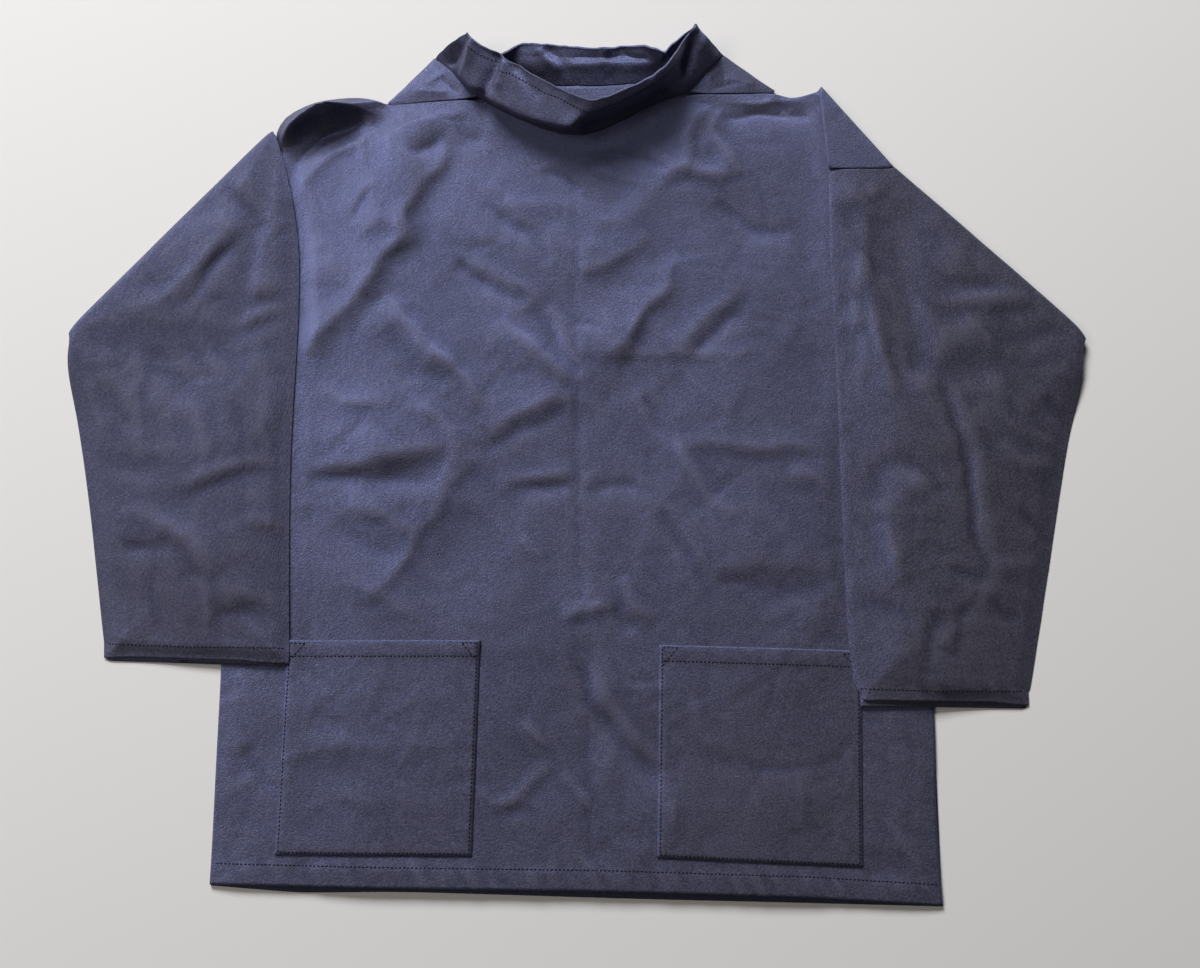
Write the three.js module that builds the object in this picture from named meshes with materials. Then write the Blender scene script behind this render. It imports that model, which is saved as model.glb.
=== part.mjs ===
// Fisherman smock of cotton drill, laid flat with its front up and both sleeves folded over it.
// Millimetres, +Z up, +Y towards the collar, +X to the right as seen from above.
// Every piece is a thin wall of cloth: a sheet of mid-points, thickened to both sides.

import * as THREE from 'three';

const { lerp, smoothstep, degToRad } = THREE.MathUtils;

// Cloth
const clothWall = 1.2;
const hemWall = 2.0;
const collarWall = 1.6;
const seamGap = 0.3;
const clearance = 0.8;
const clothColour = 0x2b2c3c;

// Heights of the mid-points of the panels
const backHeight = clothWall / 2;
const seamHeight = backHeight + clothWall + seamGap;
const shelfHeight = 4.4;
const chestPuff = 3.6;
const hemDrop = 0.8;
const pocketLift = clothWall + 0.8;

// How far in from an edge a height eases to the next one
const sideEase = 22;
const puffStart = 72;
const puffEnd = 130;
const topEase = 50;
const hemEase = 70;

// Hem allowances
const bodyHem = 17;
const cuffHem = 12;
const pocketHem = 13;
const hemStep = 1.5;

// A sleeve folds over on a half round of this centre height
const foldCentre = 5.6;
const foldUpperHeight = 3.6;
const foldAngles = [45, 90, 135, 180];
const foldEase = 70;
const shelfTop = 5.4;
const shelfFall = 46;
const sleeveEdge = 5;
const sleeveThin = 2;

// Side edges of the body, from the armhole down to the hem
const leftSide = [
  { y: 299, x: -274 },
  { y: 100, x: -306 },
  { y: -178, x: -304 },
  { y: -357, x: -306 },
];
const rightSide = [
  { y: 264, x: 279 },
  { y: 76, x: 300 },
  { y: -255, x: 302 },
  { y: -290, x: 300 },
  { y: -374, x: 303 },
];

// Hem of each panel; the back one shows a little below the front one
const frontHem = [
  { x: -306, y: -357 },
  { x: -148, y: -360 },
  { x: 19, y: -362 },
  { x: 185, y: -367 },
  { x: 303, y: -374 },
];
const backHem = [
  { x: -306, y: -358 },
  { x: -231, y: -364 },
  { x: -148, y: -363 },
  { x: 52, y: -369 },
  { x: 185, y: -372 },
  { x: 303, y: -375 },
];

// Top edge of the front, one row for each column of the panel:
// left shoulder, left gusset, neck, right gusset, right shoulder, diagonal fold
const frontTop = [
  { x: -274, y: 299, z: 2.1 },
  { x: -266, y: 315, z: 2.1 },
  { x: -250, y: 325, z: 2.1 },
  { x: -229, y: 330, z: 2.1 },
  { x: -208, y: 332, z: 2.1 },
  { x: -190, y: 331, z: 2.2 },
  { x: -176, y: 327, z: 2.6 },
  { x: -155, y: 327.8, z: 4.7 },
  { x: -134, y: 328.5, z: 6.8 },
  { x: -113, y: 329.2, z: 8.9 },
  { x: -92, y: 330, z: 11 },
  { x: -71, y: 317, z: 12 },
  { x: -53, y: 308, z: 12 },
  { x: -31, y: 299, z: 12 },
  { x: -10, y: 293, z: 12 },
  { x: 10, y: 294, z: 12 },
  { x: 30, y: 302, z: 12 },
  { x: 50, y: 313, z: 12 },
  { x: 70, y: 324, z: 12 },
  { x: 86, y: 330, z: 11.5 },
  { x: 100, y: 334, z: 11 },
  { x: 120, y: 335.2, z: 8.9 },
  { x: 140, y: 336.5, z: 6.8 },
  { x: 160, y: 337.8, z: 4.7 },
  { x: 180, y: 339, z: 2.6 },
  { x: 190, y: 333, z: 2.2 },
  { x: 203, y: 336, z: 2.6 },
  { x: 216, y: 340, z: 3.6 },
  { x: 232, y: 320.6, z: 3.6 },
  { x: 248, y: 301.3, z: 3.6 },
  { x: 264, y: 282.4, z: 3.6 },
  { x: 279, y: 264, z: 3.6 },
];

// Top edge of the back, in the same order
const backTop = [
  { x: -274, y: 299 },
  { x: -266, y: 315 },
  { x: -250, y: 325 },
  { x: -229, y: 330 },
  { x: -208, y: 332 },
  { x: -190, y: 331 },
  { x: -176, y: 327 },
  { x: -139, y: 340 },
  { x: -103, y: 353 },
  { x: -70, y: 348 },
  { x: -26, y: 346 },
  { x: 18, y: 346 },
  { x: 62, y: 349 },
  { x: 100, y: 354 },
  { x: 140, y: 346.5 },
  { x: 180, y: 339 },
  { x: 190, y: 333 },
  { x: 203, y: 336 },
  { x: 216, y: 340 },
  { x: 232, y: 320.6 },
  { x: 248, y: 301.3 },
  { x: 264, y: 282.4 },
  { x: 279, y: 264 },
];

// Rows of the panels, as distances down from the top edge
const frontRowDrops = [0, 5, 11, 18, 27, 39, 55, 76];
const frontRowCount = 23;
const backRowCount = 5;

// Where the tip of the folded right shoulder comes to lie, and the rows up to it
const shoulderTip = { x: 224, y: 265 };
const shoulderFoldColumns = 5;
const shoulderRows = [0.34, 0.67, 1];

// Largest folds of the front: a soft ridge or, with a negative rise, a soft trough
const frontFolds = [
  { x0: -116, y0: 315, x1: -127, y1: 271, width: 12, rise: -4 },
  { x0: -127, y0: 271, x1: -159, y1: 206, width: 13, rise: -4.5 },
  { x0: -150, y0: 300, x1: -184, y1: 225, width: 16, rise: 5 },
  { x0: 68, y0: 258, x1: 134, y1: 258, width: 12, rise: 3 },
  { x0: 122, y0: 237, x1: 147, y1: 214, width: 12, rise: -2.5 },
  { x0: 147, y0: 214, x1: 183, y1: 206, width: 12, rise: -2.5 },
  { x0: 56, y0: 206, x1: 9, y1: 180, width: 14, rise: 2.5 },
  { x0: -102, y0: 171, x1: -32, y1: 126, width: 15, rise: -2.5 },
  { x0: -156, y0: 123, x1: -83, y1: 52, width: 14, rise: 4 },
  { x0: -56, y0: 123, x1: -5, y1: 74, width: 14, rise: 4 },
  { x0: 49, y0: 123, x1: 9, y1: 79, width: 13, rise: 3 },
  { x0: 132, y0: 123, x1: 80, y1: 65, width: 13, rise: -2.5 },
  { x0: -9, y0: 54, x1: -80, y1: 31, width: 13, rise: 3 },
  { x0: -95, y0: -11, x1: -153, y1: -87, width: 15, rise: 3 },
  { x0: -230, y0: -11, x1: -95, y1: -11, width: 12, rise: -2 },
  { x0: 49, y0: 65, x1: 117, y1: -36, width: 14, rise: -2.5 },
  { x0: 70, y0: -45, x1: 113, y1: -122, width: 14, rise: 2.5 },
  { x0: 31, y0: -122, x1: -15, y1: -139, width: 12, rise: 2 },
  { x0: 1, y0: -177, x1: 26, y1: -229, width: 12, rise: -3.5 },
  { x0: 26, y0: -229, x1: 65, y1: -268, width: 12, rise: -3.5 },
  { x0: 22, y0: -172, x1: 48, y1: -222, width: 13, rise: 3 },
  { x0: -72, y0: -281, x1: -33, y1: -268, width: 11, rise: -2 },
];

// The left shoulder rolls up to a ridge beside its seam, with a valley below it
const shoulderRoll = {
  xStart: -266,
  xFull: -248,
  xEase: -196,
  xEnd: -178,
  ridgeDrop: 12,
  ridgeWidth: 6.5,
  ridgeRise: 10,
  valleyDrop: 31,
  valleyWidth: 9,
  valleyRise: -1.2,
};

// Sleeves. Each row is one section of the flattened tube: its end on the armhole or top fold,
// its end on the underarm, and the space between the two layers. The rows before the fold lie
// under the ones after it. The tube is open along the armhole for the first openRows rows.
const rightSleeve = {
  side: 1,
  foldStart: { x: 216, y: 340 },
  foldEnd: { x: 447, y: 107 },
  underarm: { x: 300, y: 76 },
  bodyEdge: 303,
  openRows: 10,
  hidden: [
    { tx: 299.3, ty: 90, wx: 322, wy: 81 },
    { tx: 294, ty: 140, wx: 370, wy: 91 },
    { tx: 287, ty: 205, wx: 412, wy: 100 },
    { tx: 279.6, ty: 263.7, wx: 447, wy: 107 },
  ],
  shown: [
    { tx: 261, ty: 263.6, wx: 441, wy: 78, puff: 3.4 },
    { tx: 242, ty: 263.8, wx: 436, wy: 52, puff: 3.8 },
    { tx: 224, ty: 264.2, wx: 429, wy: 27, puff: 4.2 },
    { tx: 223.6, ty: 226, wx: 422, wy: -6, puff: 4.6 },
    { tx: 223.6, ty: 186, wx: 416, wy: -36, puff: 4.8 },
    { tx: 224.5, ty: 146, wx: 410, wy: -66, puff: 5 },
    { tx: 225.5, ty: 104, wx: 405, wy: -93, puff: 5 },
    { tx: 226.5, ty: 60, wx: 400, wy: -116, puff: 5.2 },
    { tx: 227.6, ty: 14, wx: 396, wy: -138, puff: 5.4 },
    { tx: 228, ty: -34, wx: 392, wy: -156, puff: 5.6 },
    { tx: 228.6, ty: -82, wx: 389, wy: -172, puff: 5.8 },
    { tx: 229.4, ty: -128, wx: 386, wy: -186, puff: 6 },
    { tx: 230.5, ty: -165, wx: 384, wy: -196, puff: 6.4 },
    { tx: 234.5, ty: -195.5, wx: 382.4, wy: -197.6, puff: 6.8 },
    { tx: 235, ty: -197, wx: 382.3, wy: -199, puff: 6.8, wall: hemWall },
    { tx: 236, ty: -208, wx: 382, wy: -210, puff: 6.8, wall: hemWall },
  ],
  folds: [
    { x0: 234, y0: 225, x1: 295, y1: 155, width: 13, rise: 3 },
    { x0: 303, y0: 146, x1: 387, y1: 157, width: 12, rise: 3 },
    { x0: 251, y0: 109, x1: 271, y1: 61, width: 12, rise: 2 },
    { x0: 314, y0: 70, x1: 336, y1: -20, width: 13, rise: 2.6 },
    { x0: 336, y0: -20, x1: 351, y1: -113, width: 13, rise: 2.6 },
    { x0: 382, y0: 0, x1: 414, y1: -2, width: 11, rise: 1.6 },
  ],
};
const leftSleeve = {
  side: -1,
  foldStart: { x: -274, y: 299 },
  foldEnd: { x: -448, y: 112 },
  underarm: { x: -306, y: 100 },
  bodyEdge: -306,
  openRows: 3,
  hidden: [
    { tx: -304.8, ty: 110, wx: -328, wy: 101.8 },
    { tx: -296.3, ty: 163, wx: -372, wy: 105.6 },
    { tx: -285.5, ty: 230, wx: -412, wy: 109 },
    { tx: -274.6, ty: 298.5, wx: -448, wy: 112 },
  ],
  shown: [
    { tx: -268, ty: 280, wx: -449, wy: 92, puff: 3.4 },
    { tx: -261.5, ty: 256, wx: -445.5, wy: 68, puff: 3.8 },
    { tx: -254.5, ty: 226, wx: -439, wy: 38, puff: 4.2 },
    { tx: -249, ty: 188, wx: -432, wy: 4, puff: 4.6 },
    { tx: -248, ty: 146, wx: -426, wy: -28, puff: 4.8 },
    { tx: -248.6, ty: 100, wx: -421, wy: -56, puff: 5 },
    { tx: -250, ty: 54, wx: -417, wy: -82, puff: 5 },
    { tx: -251, ty: 8, wx: -413.5, wy: -104, puff: 5.2 },
    { tx: -250.4, ty: -38, wx: -410.5, wy: -123, puff: 5.4 },
    { tx: -249.3, ty: -82, wx: -408, wy: -139, puff: 5.6 },
    { tx: -247.8, ty: -122, wx: -406, wy: -151, puff: 5.8 },
    { tx: -246, ty: -162.5, wx: -404.8, wy: -157.5, puff: 6 },
    { tx: -246, ty: -164, wx: -404.7, wy: -159, puff: 6, wall: hemWall },
    { tx: -246, ty: -175, wx: -404, wy: -170, puff: 6, wall: hemWall },
  ],
  folds: [
    { x0: -320, y0: 255, x1: -277, y1: 206, width: 13, rise: 2.6 },
    { x0: -289, y0: 216, x1: -353, y1: 140, width: 13, rise: 2.6 },
    { x0: -394, y0: -43, x1: -335, y1: -74, width: 12, rise: 2.4 },
    { x0: -320, y0: 81, x1: -290, y1: 50, width: 13, rise: 1.8 },
  ],
};
const sleeveAcross = [0.12, 0.3, 0.5, 0.7, 0.88];

// The cuffs ride up over the pocket corners
const cuffRide = { yStart: -90, yFull: -140, rise: 2.4, reachStart: 255, reachEnd: 300 };

// Neck gussets: base points along the collar, from the front corner round the fold to the back.
// The apex lies on the shoulder seam, with a height for each layer.
const gussetRows = [0.06, 0.2, 0.4, 0.6, 0.8, 1];
const gussetPuff = 1.6;
const leftGusset = {
  apex: { x: -176, y: 327.5 },
  base: [
    { x: -92.2, y: 330.6, z: 11, apexZ: 2.7, front: 0.4 },
    { x: -106, y: 344.4, z: 10, apexZ: 2.7, front: 1 },
    { x: -120, y: 357.6, z: 8.5, apexZ: 2.7, front: 0.6 },
    { x: -131.5, y: 367.8, z: 6.6, apexZ: 2.6, front: 0 },
    { x: -133.5, y: 369.6, z: 4.2, apexZ: 1.65, front: 0 },
    { x: -131.5, y: 367.8, z: 1.8, apexZ: 0.7, front: 0 },
    { x: -118, y: 361.5, z: 0.7, apexZ: 0.6, front: 0 },
    { x: -103, y: 353.6, z: 0.6, apexZ: 0.6, front: 0 },
  ],
};
const rightGusset = {
  apex: { x: 180, y: 339.5 },
  base: [
    { x: 100.2, y: 334.6, z: 11, apexZ: 2.7, front: 0.4 },
    { x: 111, y: 346.5, z: 10, apexZ: 2.7, front: 1 },
    { x: 122, y: 360, z: 8.5, apexZ: 2.7, front: 0.6 },
    { x: 131.5, y: 370.4, z: 6.6, apexZ: 2.6, front: 0 },
    { x: 133.5, y: 372.2, z: 4.2, apexZ: 1.65, front: 0 },
    { x: 131.5, y: 370.4, z: 1.8, apexZ: 0.7, front: 0 },
    { x: 117, y: 362.8, z: 0.7, apexZ: 0.6, front: 0 },
    { x: 100.4, y: 354.6, z: 0.6, apexZ: 0.6, front: 0 },
  ],
};

// Collar: one row for each section round the neck, clockwise from the left peak.
// b is the seam to the body, t the top edge, bulge how far the band swells outwards. The seam
// stands clear of the body's edge: side is -1 where that is towards the ring's middle, along the
// front, 1 where it is away from it, along the back, and 0 at the two folds over the shoulders.
const collarSections = [
  { bx: -131.4, by: 371.2, bz: 3, side: 0, tx: -100, ty: 377, tz: 46, bulge: 2 },
  { bx: -120, by: 357, bz: 7, side: -1, tx: -96, ty: 367, tz: 47, bulge: -2.5 },
  { bx: -106, by: 344, bz: 9.5, side: -1, tx: -88, ty: 363, tz: 48, bulge: 2 },
  { bx: -92, by: 330, bz: 11, side: -1, tx: -76, ty: 357, tz: 49, bulge: 5 },
  { bx: -71, by: 317, bz: 11.6, side: -1, tx: -60, ty: 346, tz: 51, bulge: 7 },
  { bx: -53, by: 308, bz: 11.6, side: -1, tx: -44, ty: 335, tz: 53, bulge: 8 },
  { bx: -31, by: 299, bz: 11.6, side: -1, tx: -26, ty: 324, tz: 55, bulge: 8 },
  { bx: -10, by: 293, bz: 11.6, side: -1, tx: -8, ty: 315, tz: 56, bulge: 7 },
  { bx: 10, by: 294, bz: 11.6, side: -1, tx: 10, ty: 308, tz: 56, bulge: 6 },
  { bx: 30, by: 302, bz: 11.6, side: -1, tx: 28, ty: 315, tz: 55, bulge: 6.5 },
  { bx: 50, by: 313, bz: 11.6, side: -1, tx: 46, ty: 324, tz: 54, bulge: 6.5 },
  { bx: 70, by: 324, bz: 11.6, side: -1, tx: 64, ty: 334, tz: 53, bulge: 5 },
  { bx: 86, by: 330, bz: 11.4, side: -1, tx: 77, ty: 342, tz: 52, bulge: 4 },
  { bx: 100, by: 334, bz: 11, side: -1, tx: 86, ty: 355, tz: 51, bulge: 1 },
  { bx: 116, by: 352, bz: 8.5, side: -1, tx: 92, ty: 366, tz: 50, bulge: -3 },
  { bx: 131.4, by: 374.2, bz: 3, side: 0, tx: 100, ty: 382, tz: 48, bulge: 2 },
  { bx: 124, by: 366, bz: 1.4, side: 1, tx: 93, ty: 374, tz: 46, bulge: 1 },
  { bx: 112, by: 360, bz: 1, side: 1, tx: 82, ty: 366, tz: 44, bulge: 0 },
  { bx: 100, by: 354, bz: 1, side: 1, tx: 76, ty: 360, tz: 42, bulge: -1 },
  { bx: 81, by: 351.5, bz: 1, side: 1, tx: 68, ty: 366, tz: 36, bulge: 3 },
  { bx: 62, by: 349, bz: 1, side: 1, tx: 55, ty: 371, tz: 31, bulge: 5 },
  { bx: 40, by: 347.5, bz: 1, side: 1, tx: 38, ty: 370, tz: 29, bulge: 5 },
  { bx: 18, by: 346, bz: 1, side: 1, tx: 19, ty: 369, tz: 28, bulge: 5.5 },
  { bx: -4, by: 346, bz: 1, side: 1, tx: 0, ty: 370, tz: 28, bulge: 5 },
  { bx: -26, by: 346, bz: 1, side: 1, tx: -20, ty: 371, tz: 29, bulge: 5.5 },
  { bx: -48, by: 347, bz: 1, side: 1, tx: -38, ty: 373, tz: 30, bulge: 5 },
  { bx: -70, by: 348, bz: 1, side: 1, tx: -54, ty: 373, tz: 31, bulge: 4 },
  { bx: -87, by: 350.5, bz: 1, side: 1, tx: -63, ty: 364, tz: 35, bulge: 1 },
  { bx: -103, by: 353, bz: 1, side: 1, tx: -73, ty: 356, tz: 38, bulge: -1 },
  { bx: -119, by: 361, bz: 1.4, side: 1, tx: -88, ty: 363, tz: 41, bulge: 0 },
];
const collarRows = [0, 0.16, 0.34, 0.52, 0.7, 0.86, 1];
const collarShift = 1.6;

// Patch pockets: corners as they lie, clockwise from the top left
const pockets = [
  {
    name: 'pocket_left',
    topLeft: [-248, -155],
    topRight: [-83, -155],
    bottomLeft: [-252, -333],
    bottomRight: [-88, -334],
  },
  {
    name: 'pocket_right',
    topLeft: [69, -159],
    topRight: [241, -164],
    bottomLeft: [66, -335],
    bottomRight: [237, -343],
  },
];
const pocketColumns = 9;
const pocketRows = [0, 12 / 178, 0.08, 0.2, 0.33, 0.47, 0.6, 0.74, 0.87, 1];

// Value of one column of a table at a place along another column
function lookUp(rows, key, column, at) {
  const rising = rows[rows.length - 1][key] > rows[0][key];
  const ordered = rising ? rows : [...rows].reverse();
  if (at <= ordered[0][key]) return ordered[0][column];
  for (let i = 1; i < ordered.length; i += 1) {
    const low = ordered[i - 1];
    const high = ordered[i];
    if (at <= high[key]) return lerp(low[column], high[column], (at - low[key]) / (high[key] - low[key]));
  }
  return ordered[ordered.length - 1][column];
}

// Height that a table of folds adds at a point, with soft ends
function foldRise(folds, x, y) {
  let rise = 0;
  for (const fold of folds) {
    const dx = fold.x1 - fold.x0;
    const dy = fold.y1 - fold.y0;
    const along = ((x - fold.x0) * dx + (y - fold.y0) * dy) / (dx * dx + dy * dy);
    const nearest = THREE.MathUtils.clamp(along, 0, 1);
    const away = Math.hypot(x - fold.x0 - nearest * dx, y - fold.y0 - nearest * dy);
    rise += fold.rise * Math.exp(-((away / fold.width) ** 2));
  }
  return rise;
}

// Height of the front panel's mid-points
function frontHeight(x, y) {
  const side = Math.min(x - lookUp(leftSide, 'y', 'x', y), lookUp(rightSide, 'y', 'x', y) - x);
  const drop = lookUp(frontTop, 'x', 'y', x) - y;
  const up = y - lookUp(frontHem, 'x', 'y', x);
  const shelf = lerp(seamHeight, shelfHeight, smoothstep(side, 0, sideEase));
  const inner = smoothstep(side, puffStart, puffEnd);
  const nearHem = 1 - smoothstep(up, 0, hemEase);
  const full = shelf + inner * (chestPuff + foldRise(frontFolds, x, y) - hemDrop * nearHem);
  const edge = lookUp(frontTop, 'x', 'z', x);
  return lerp(edge, full, smoothstep(drop, 0, topEase)) + rollHeight(x, drop);
}

// Ridge and valley of the rolled left shoulder, by the distance down from its seam
function rollHeight(x, drop) {
  const roll = shoulderRoll;
  const reach = smoothstep(x, roll.xStart, roll.xFull) * (1 - smoothstep(x, roll.xEase, roll.xEnd));
  const ridge = roll.ridgeRise * Math.exp(-(((drop - roll.ridgeDrop) / roll.ridgeWidth) ** 2));
  const valley = roll.valleyRise * Math.exp(-(((drop - roll.valleyDrop) / roll.valleyWidth) ** 2));
  return reach * (ridge + valley);
}

// A sheet is a list of mid-points and the triangles between them
function joinRows(sheet, rows) {
  for (let j = 1; j < rows.length; j += 1) {
    for (let i = 1; i < rows[j].length; i += 1) {
      const a = rows[j - 1][i - 1];
      const b = rows[j - 1][i];
      const c = rows[j][i];
      const d = rows[j][i - 1];
      sheet.push([a, b, c], [a, c, d]);
    }
  }
}

// Joins points that lie on each other and drops triangles with no area
function weld(sheet) {
  const points = [];
  const known = new Map();
  const indexOf = (point) => {
    const key = [point.x, point.y, point.z].map((value) => value.toFixed(3)).join(' ');
    if (!known.has(key)) {
      known.set(key, points.length);
      points.push(point);
    }
    return known.get(key);
  };
  const faces = sheet.map((face) => face.map(indexOf));
  return { points, faces: faces.filter(([a, b, c]) => a !== b && b !== c && c !== a) };
}

// Thickens a sheet to both sides along its normals and closes its edges
function clothGeometry(sheet, wall = clothWall) {
  const { points, faces } = weld(sheet);
  const places = points.map((point) => new THREE.Vector3(point.x, point.y, point.z));
  const normals = points.map(() => new THREE.Vector3());
  const edges = new Set();
  for (const [a, b, c] of faces) {
    const normal = new THREE.Vector3().subVectors(places[b], places[a]);
    normal.cross(new THREE.Vector3().subVectors(places[c], places[a]));
    for (const corner of [a, b, c]) normals[corner].add(normal);
    for (const edge of [[a, b], [b, c], [c, a]]) edges.add(edge.join(' '));
  }
  const positions = [];
  for (const sign of [1, -1]) {
    places.forEach((place, i) => {
      const half = (sign * (points[i].wall ?? wall)) / 2;
      const moved = place.clone().addScaledVector(normals[i].clone().normalize(), half);
      positions.push(moved.x, moved.y, moved.z);
    });
  }
  const under = points.length;
  const indices = [];
  for (const [a, b, c] of faces) indices.push(a, b, c, a + under, c + under, b + under);
  for (const edge of edges) {
    const [a, b] = edge.split(' ').map(Number);
    if (edges.has(`${b} ${a}`)) continue;
    indices.push(b, a, a + under, b, a + under, b + under);
  }
  const geometry = new THREE.BufferGeometry();
  geometry.setAttribute('position', new THREE.Float32BufferAttribute(positions, 3));
  geometry.setIndex(indices);
  geometry.computeVertexNormals();
  return geometry;
}

// Unit direction that points out over a sleeve's diagonal fold
function foldNormal(sleeve) {
  const dx = sleeve.foldEnd.x - sleeve.foldStart.x;
  const dy = sleeve.foldEnd.y - sleeve.foldStart.y;
  const length = Math.hypot(dx, dy);
  return { x: (sleeve.side * -dy) / length, y: (sleeve.side * dx) / length };
}

// A point of the flat stack, carried round the half round of the fold
function roundFold(sleeve, point, degrees) {
  const normal = foldNormal(sleeve);
  const radius = foldCentre - point.z;
  const angle = degToRad(degrees);
  return {
    x: point.x + normal.x * radius * Math.sin(angle),
    y: point.y + normal.y * radius * Math.sin(angle),
    z: foldCentre - radius * Math.cos(angle),
  };
}

// Height of the top of what a folded sleeve lies on: body and hidden part, then the floor
function coverHeight(sleeve, x, y) {
  const beside = 1 - smoothstep(sleeve.side * (x - sleeve.bodyEdge), 0, shelfFall);
  const dx = sleeve.foldEnd.x - sleeve.underarm.x;
  const dy = sleeve.foldEnd.y - sleeve.underarm.y;
  const below = ((y - sleeve.underarm.y) * dx - (x - sleeve.underarm.x) * dy) / Math.hypot(dx, dy);
  const under = smoothstep(sleeve.side * below, -shelfFall, 0);
  const reach = 1 - smoothstep(Math.abs(x), cuffRide.reachStart, cuffRide.reachEnd);
  const ride = cuffRide.rise * smoothstep(-y, -cuffRide.yStart, -cuffRide.yFull) * reach;
  return (shelfTop + clearance) * Math.max(beside, under) + ride;
}

// Height of the folded-over cloth; flatHeight is where the layer lay before the fold
function foldedHeight(sleeve, x, y, flatHeight, gap) {
  const normal = foldNormal(sleeve);
  const away = (sleeve.foldStart.x - x) * normal.x + (sleeve.foldStart.y - y) * normal.y;
  const atFold = 2 * foldCentre - flatHeight;
  const atRest = coverHeight(sleeve, x, y) + clothWall / 2 + gap;
  return lerp(atFold, atRest, smoothstep(away, 0, foldEase));
}

// Columns of a panel run from its top edge to its hem, between the two sides
function panelPoint(top, hem, row, down, heightAt) {
  const across = (row.x - top[0].x) / (top[top.length - 1].x - top[0].x);
  const hemX = lerp(hem[0].x, hem[hem.length - 1].x, across);
  const hemY = lookUp(hem, 'x', 'y', hemX);
  const y = lerp(row.y, hemY, down);
  const sideX = (at) => lerp(lookUp(leftSide, 'y', 'x', at), lookUp(rightSide, 'y', 'x', at), across);
  const x = sideX(y) + (row.x - sideX(row.y)) * (1 - down);
  return { x, y, z: heightAt(x, y) };
}

// Rows of the right shoulder that fold over with the sleeve, from the diagonal to the tip
function shoulderFlap(foldRow, upper) {
  const rows = [foldRow];
  for (const angle of foldAngles) {
    rows.push(foldRow.map((point) => roundFold(rightSleeve, point, angle)));
  }
  for (const part of shoulderRows) {
    rows.push(foldRow.map((point) => {
      const x = lerp(point.x, shoulderTip.x, part);
      const y = lerp(point.y, shoulderTip.y, part);
      const gap = upper ? rightSleeve.shown[0].puff : 0;
      return { x, y, z: foldedHeight(rightSleeve, x, y, point.z, gap) };
    }));
  }
  return rows;
}

function panelRows(top, hem, downs, heightAt) {
  return downs.map((down, j) => top.map((row) => {
    if (j === 0) return { x: row.x, y: row.y, z: row.z ?? backHeight };
    return panelPoint(top, hem, row, down, heightAt);
  }));
}

function frontSheet() {
  const length = frontTop[0].y - frontHem[0].y;
  const downs = frontRowDrops.map((drop) => drop / length);
  const last = downs[downs.length - 1];
  const hemStart = 1 - bodyHem / length;
  for (let j = 1; j <= frontRowCount; j += 1) downs.push(lerp(last, hemStart, j / frontRowCount));
  downs.push(hemStart + hemStep / length, 1);
  const rows = panelRows(frontTop, frontHem, downs, frontHeight);
  for (const row of rows.slice(-2)) for (const point of row) point.wall = hemWall;
  const hemLift = (hemWall - clothWall) / 2;
  for (const row of rows.slice(-2)) for (const point of row) point.z += hemLift;
  const sheet = [];
  joinRows(sheet, rows);
  joinRows(sheet, shoulderFlap(rows[0].slice(-shoulderFoldColumns), false).map((row) => [...row].reverse()));
  return sheet;
}

function backSheet() {
  const downs = [0, 0.03];
  for (let j = 1; j <= backRowCount; j += 1) downs.push(lerp(downs[1], 1, j / backRowCount));
  const rows = panelRows(backTop, backHem, downs, () => backHeight);
  const sheet = [];
  joinRows(sheet, rows);
  joinRows(sheet, shoulderFlap(rows[0].slice(-shoulderFoldColumns), true).map((row) => [...row].reverse()));
  return sheet;
}

// Points across one section, as parts of its length, with one close to each edge
function acrossParts(section) {
  const width = Math.hypot(section.tx - section.wx, section.ty - section.wy);
  const edge = sleeveEdge / width;
  return [0, edge, ...sleeveAcross, 1 - edge, 1];
}

// One section of a sleeve as a ring: the back layer out to the underarm, the front layer home
function sleeveRing(section, open, heights) {
  const parts = acrossParts(section);
  const place = (part) => ({
    x: lerp(section.tx, section.wx, part),
    y: lerp(section.ty, section.wy, part),
    wall: section.wall,
  });
  const layer = (upper) => parts.map((part) => {
    const point = place(part);
    const closedEdge = part === 1 || (part === 0 && !open);
    const pair = heights(point, part);
    point.z = closedEdge ? (pair.back + pair.front) / 2 : pair[upper];
    return point;
  });
  return [...layer('back'), ...layer('front').reverse().slice(1)];
}

function sleeveSheet(sleeve) {
  const rings = sleeve.hidden.map((section, j) => {
    const open = j < sleeve.openRows;
    const atFold = j === sleeve.hidden.length - 1;
    const edgeHeight = atFold ? foldUpperHeight : seamHeight;
    const heights = (point, part) => ({
      back: backHeight,
      front: part === 0 ? edgeHeight : foldUpperHeight,
    });
    return sleeveRing(section, open, heights);
  });
  const foldRing = rings[rings.length - 1];
  for (const angle of foldAngles) {
    rings.push(foldRing.map((point) => roundFold(sleeve, point, angle)));
  }
  for (const section of sleeve.shown) {
    const open = rings.length < sleeve.openRows;
    const lift = ((section.wall ?? clothWall) - clothWall) / 2;
    const heights = (point, part) => {
      const swell = Math.sin(Math.PI * part) ** 0.6;
      const gap = open ? section.puff : lerp(sleeveThin, section.puff, swell);
      const folds = swell * foldRise(sleeve.folds, point.x, point.y);
      return {
        back: foldedHeight(sleeve, point.x, point.y, backHeight, gap + folds) + lift,
        front: foldedHeight(sleeve, point.x, point.y, foldUpperHeight, 0) + lift,
      };
    };
    rings.push(sleeveRing(section, open, heights));
  }
  const sheet = [];
  joinRows(sheet, rings);
  return sheet;
}

function gussetSheet(gusset) {
  const rows = gussetRows.map((part) => gusset.base.map((point) => ({
    x: lerp(gusset.apex.x, point.x, part),
    y: lerp(gusset.apex.y, point.y, part),
    z: lerp(point.apexZ, point.z, part) + point.front * gussetPuff * Math.sin(Math.PI * part),
  })));
  const sheet = [];
  joinRows(sheet, rows);
  return sheet;
}

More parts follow.
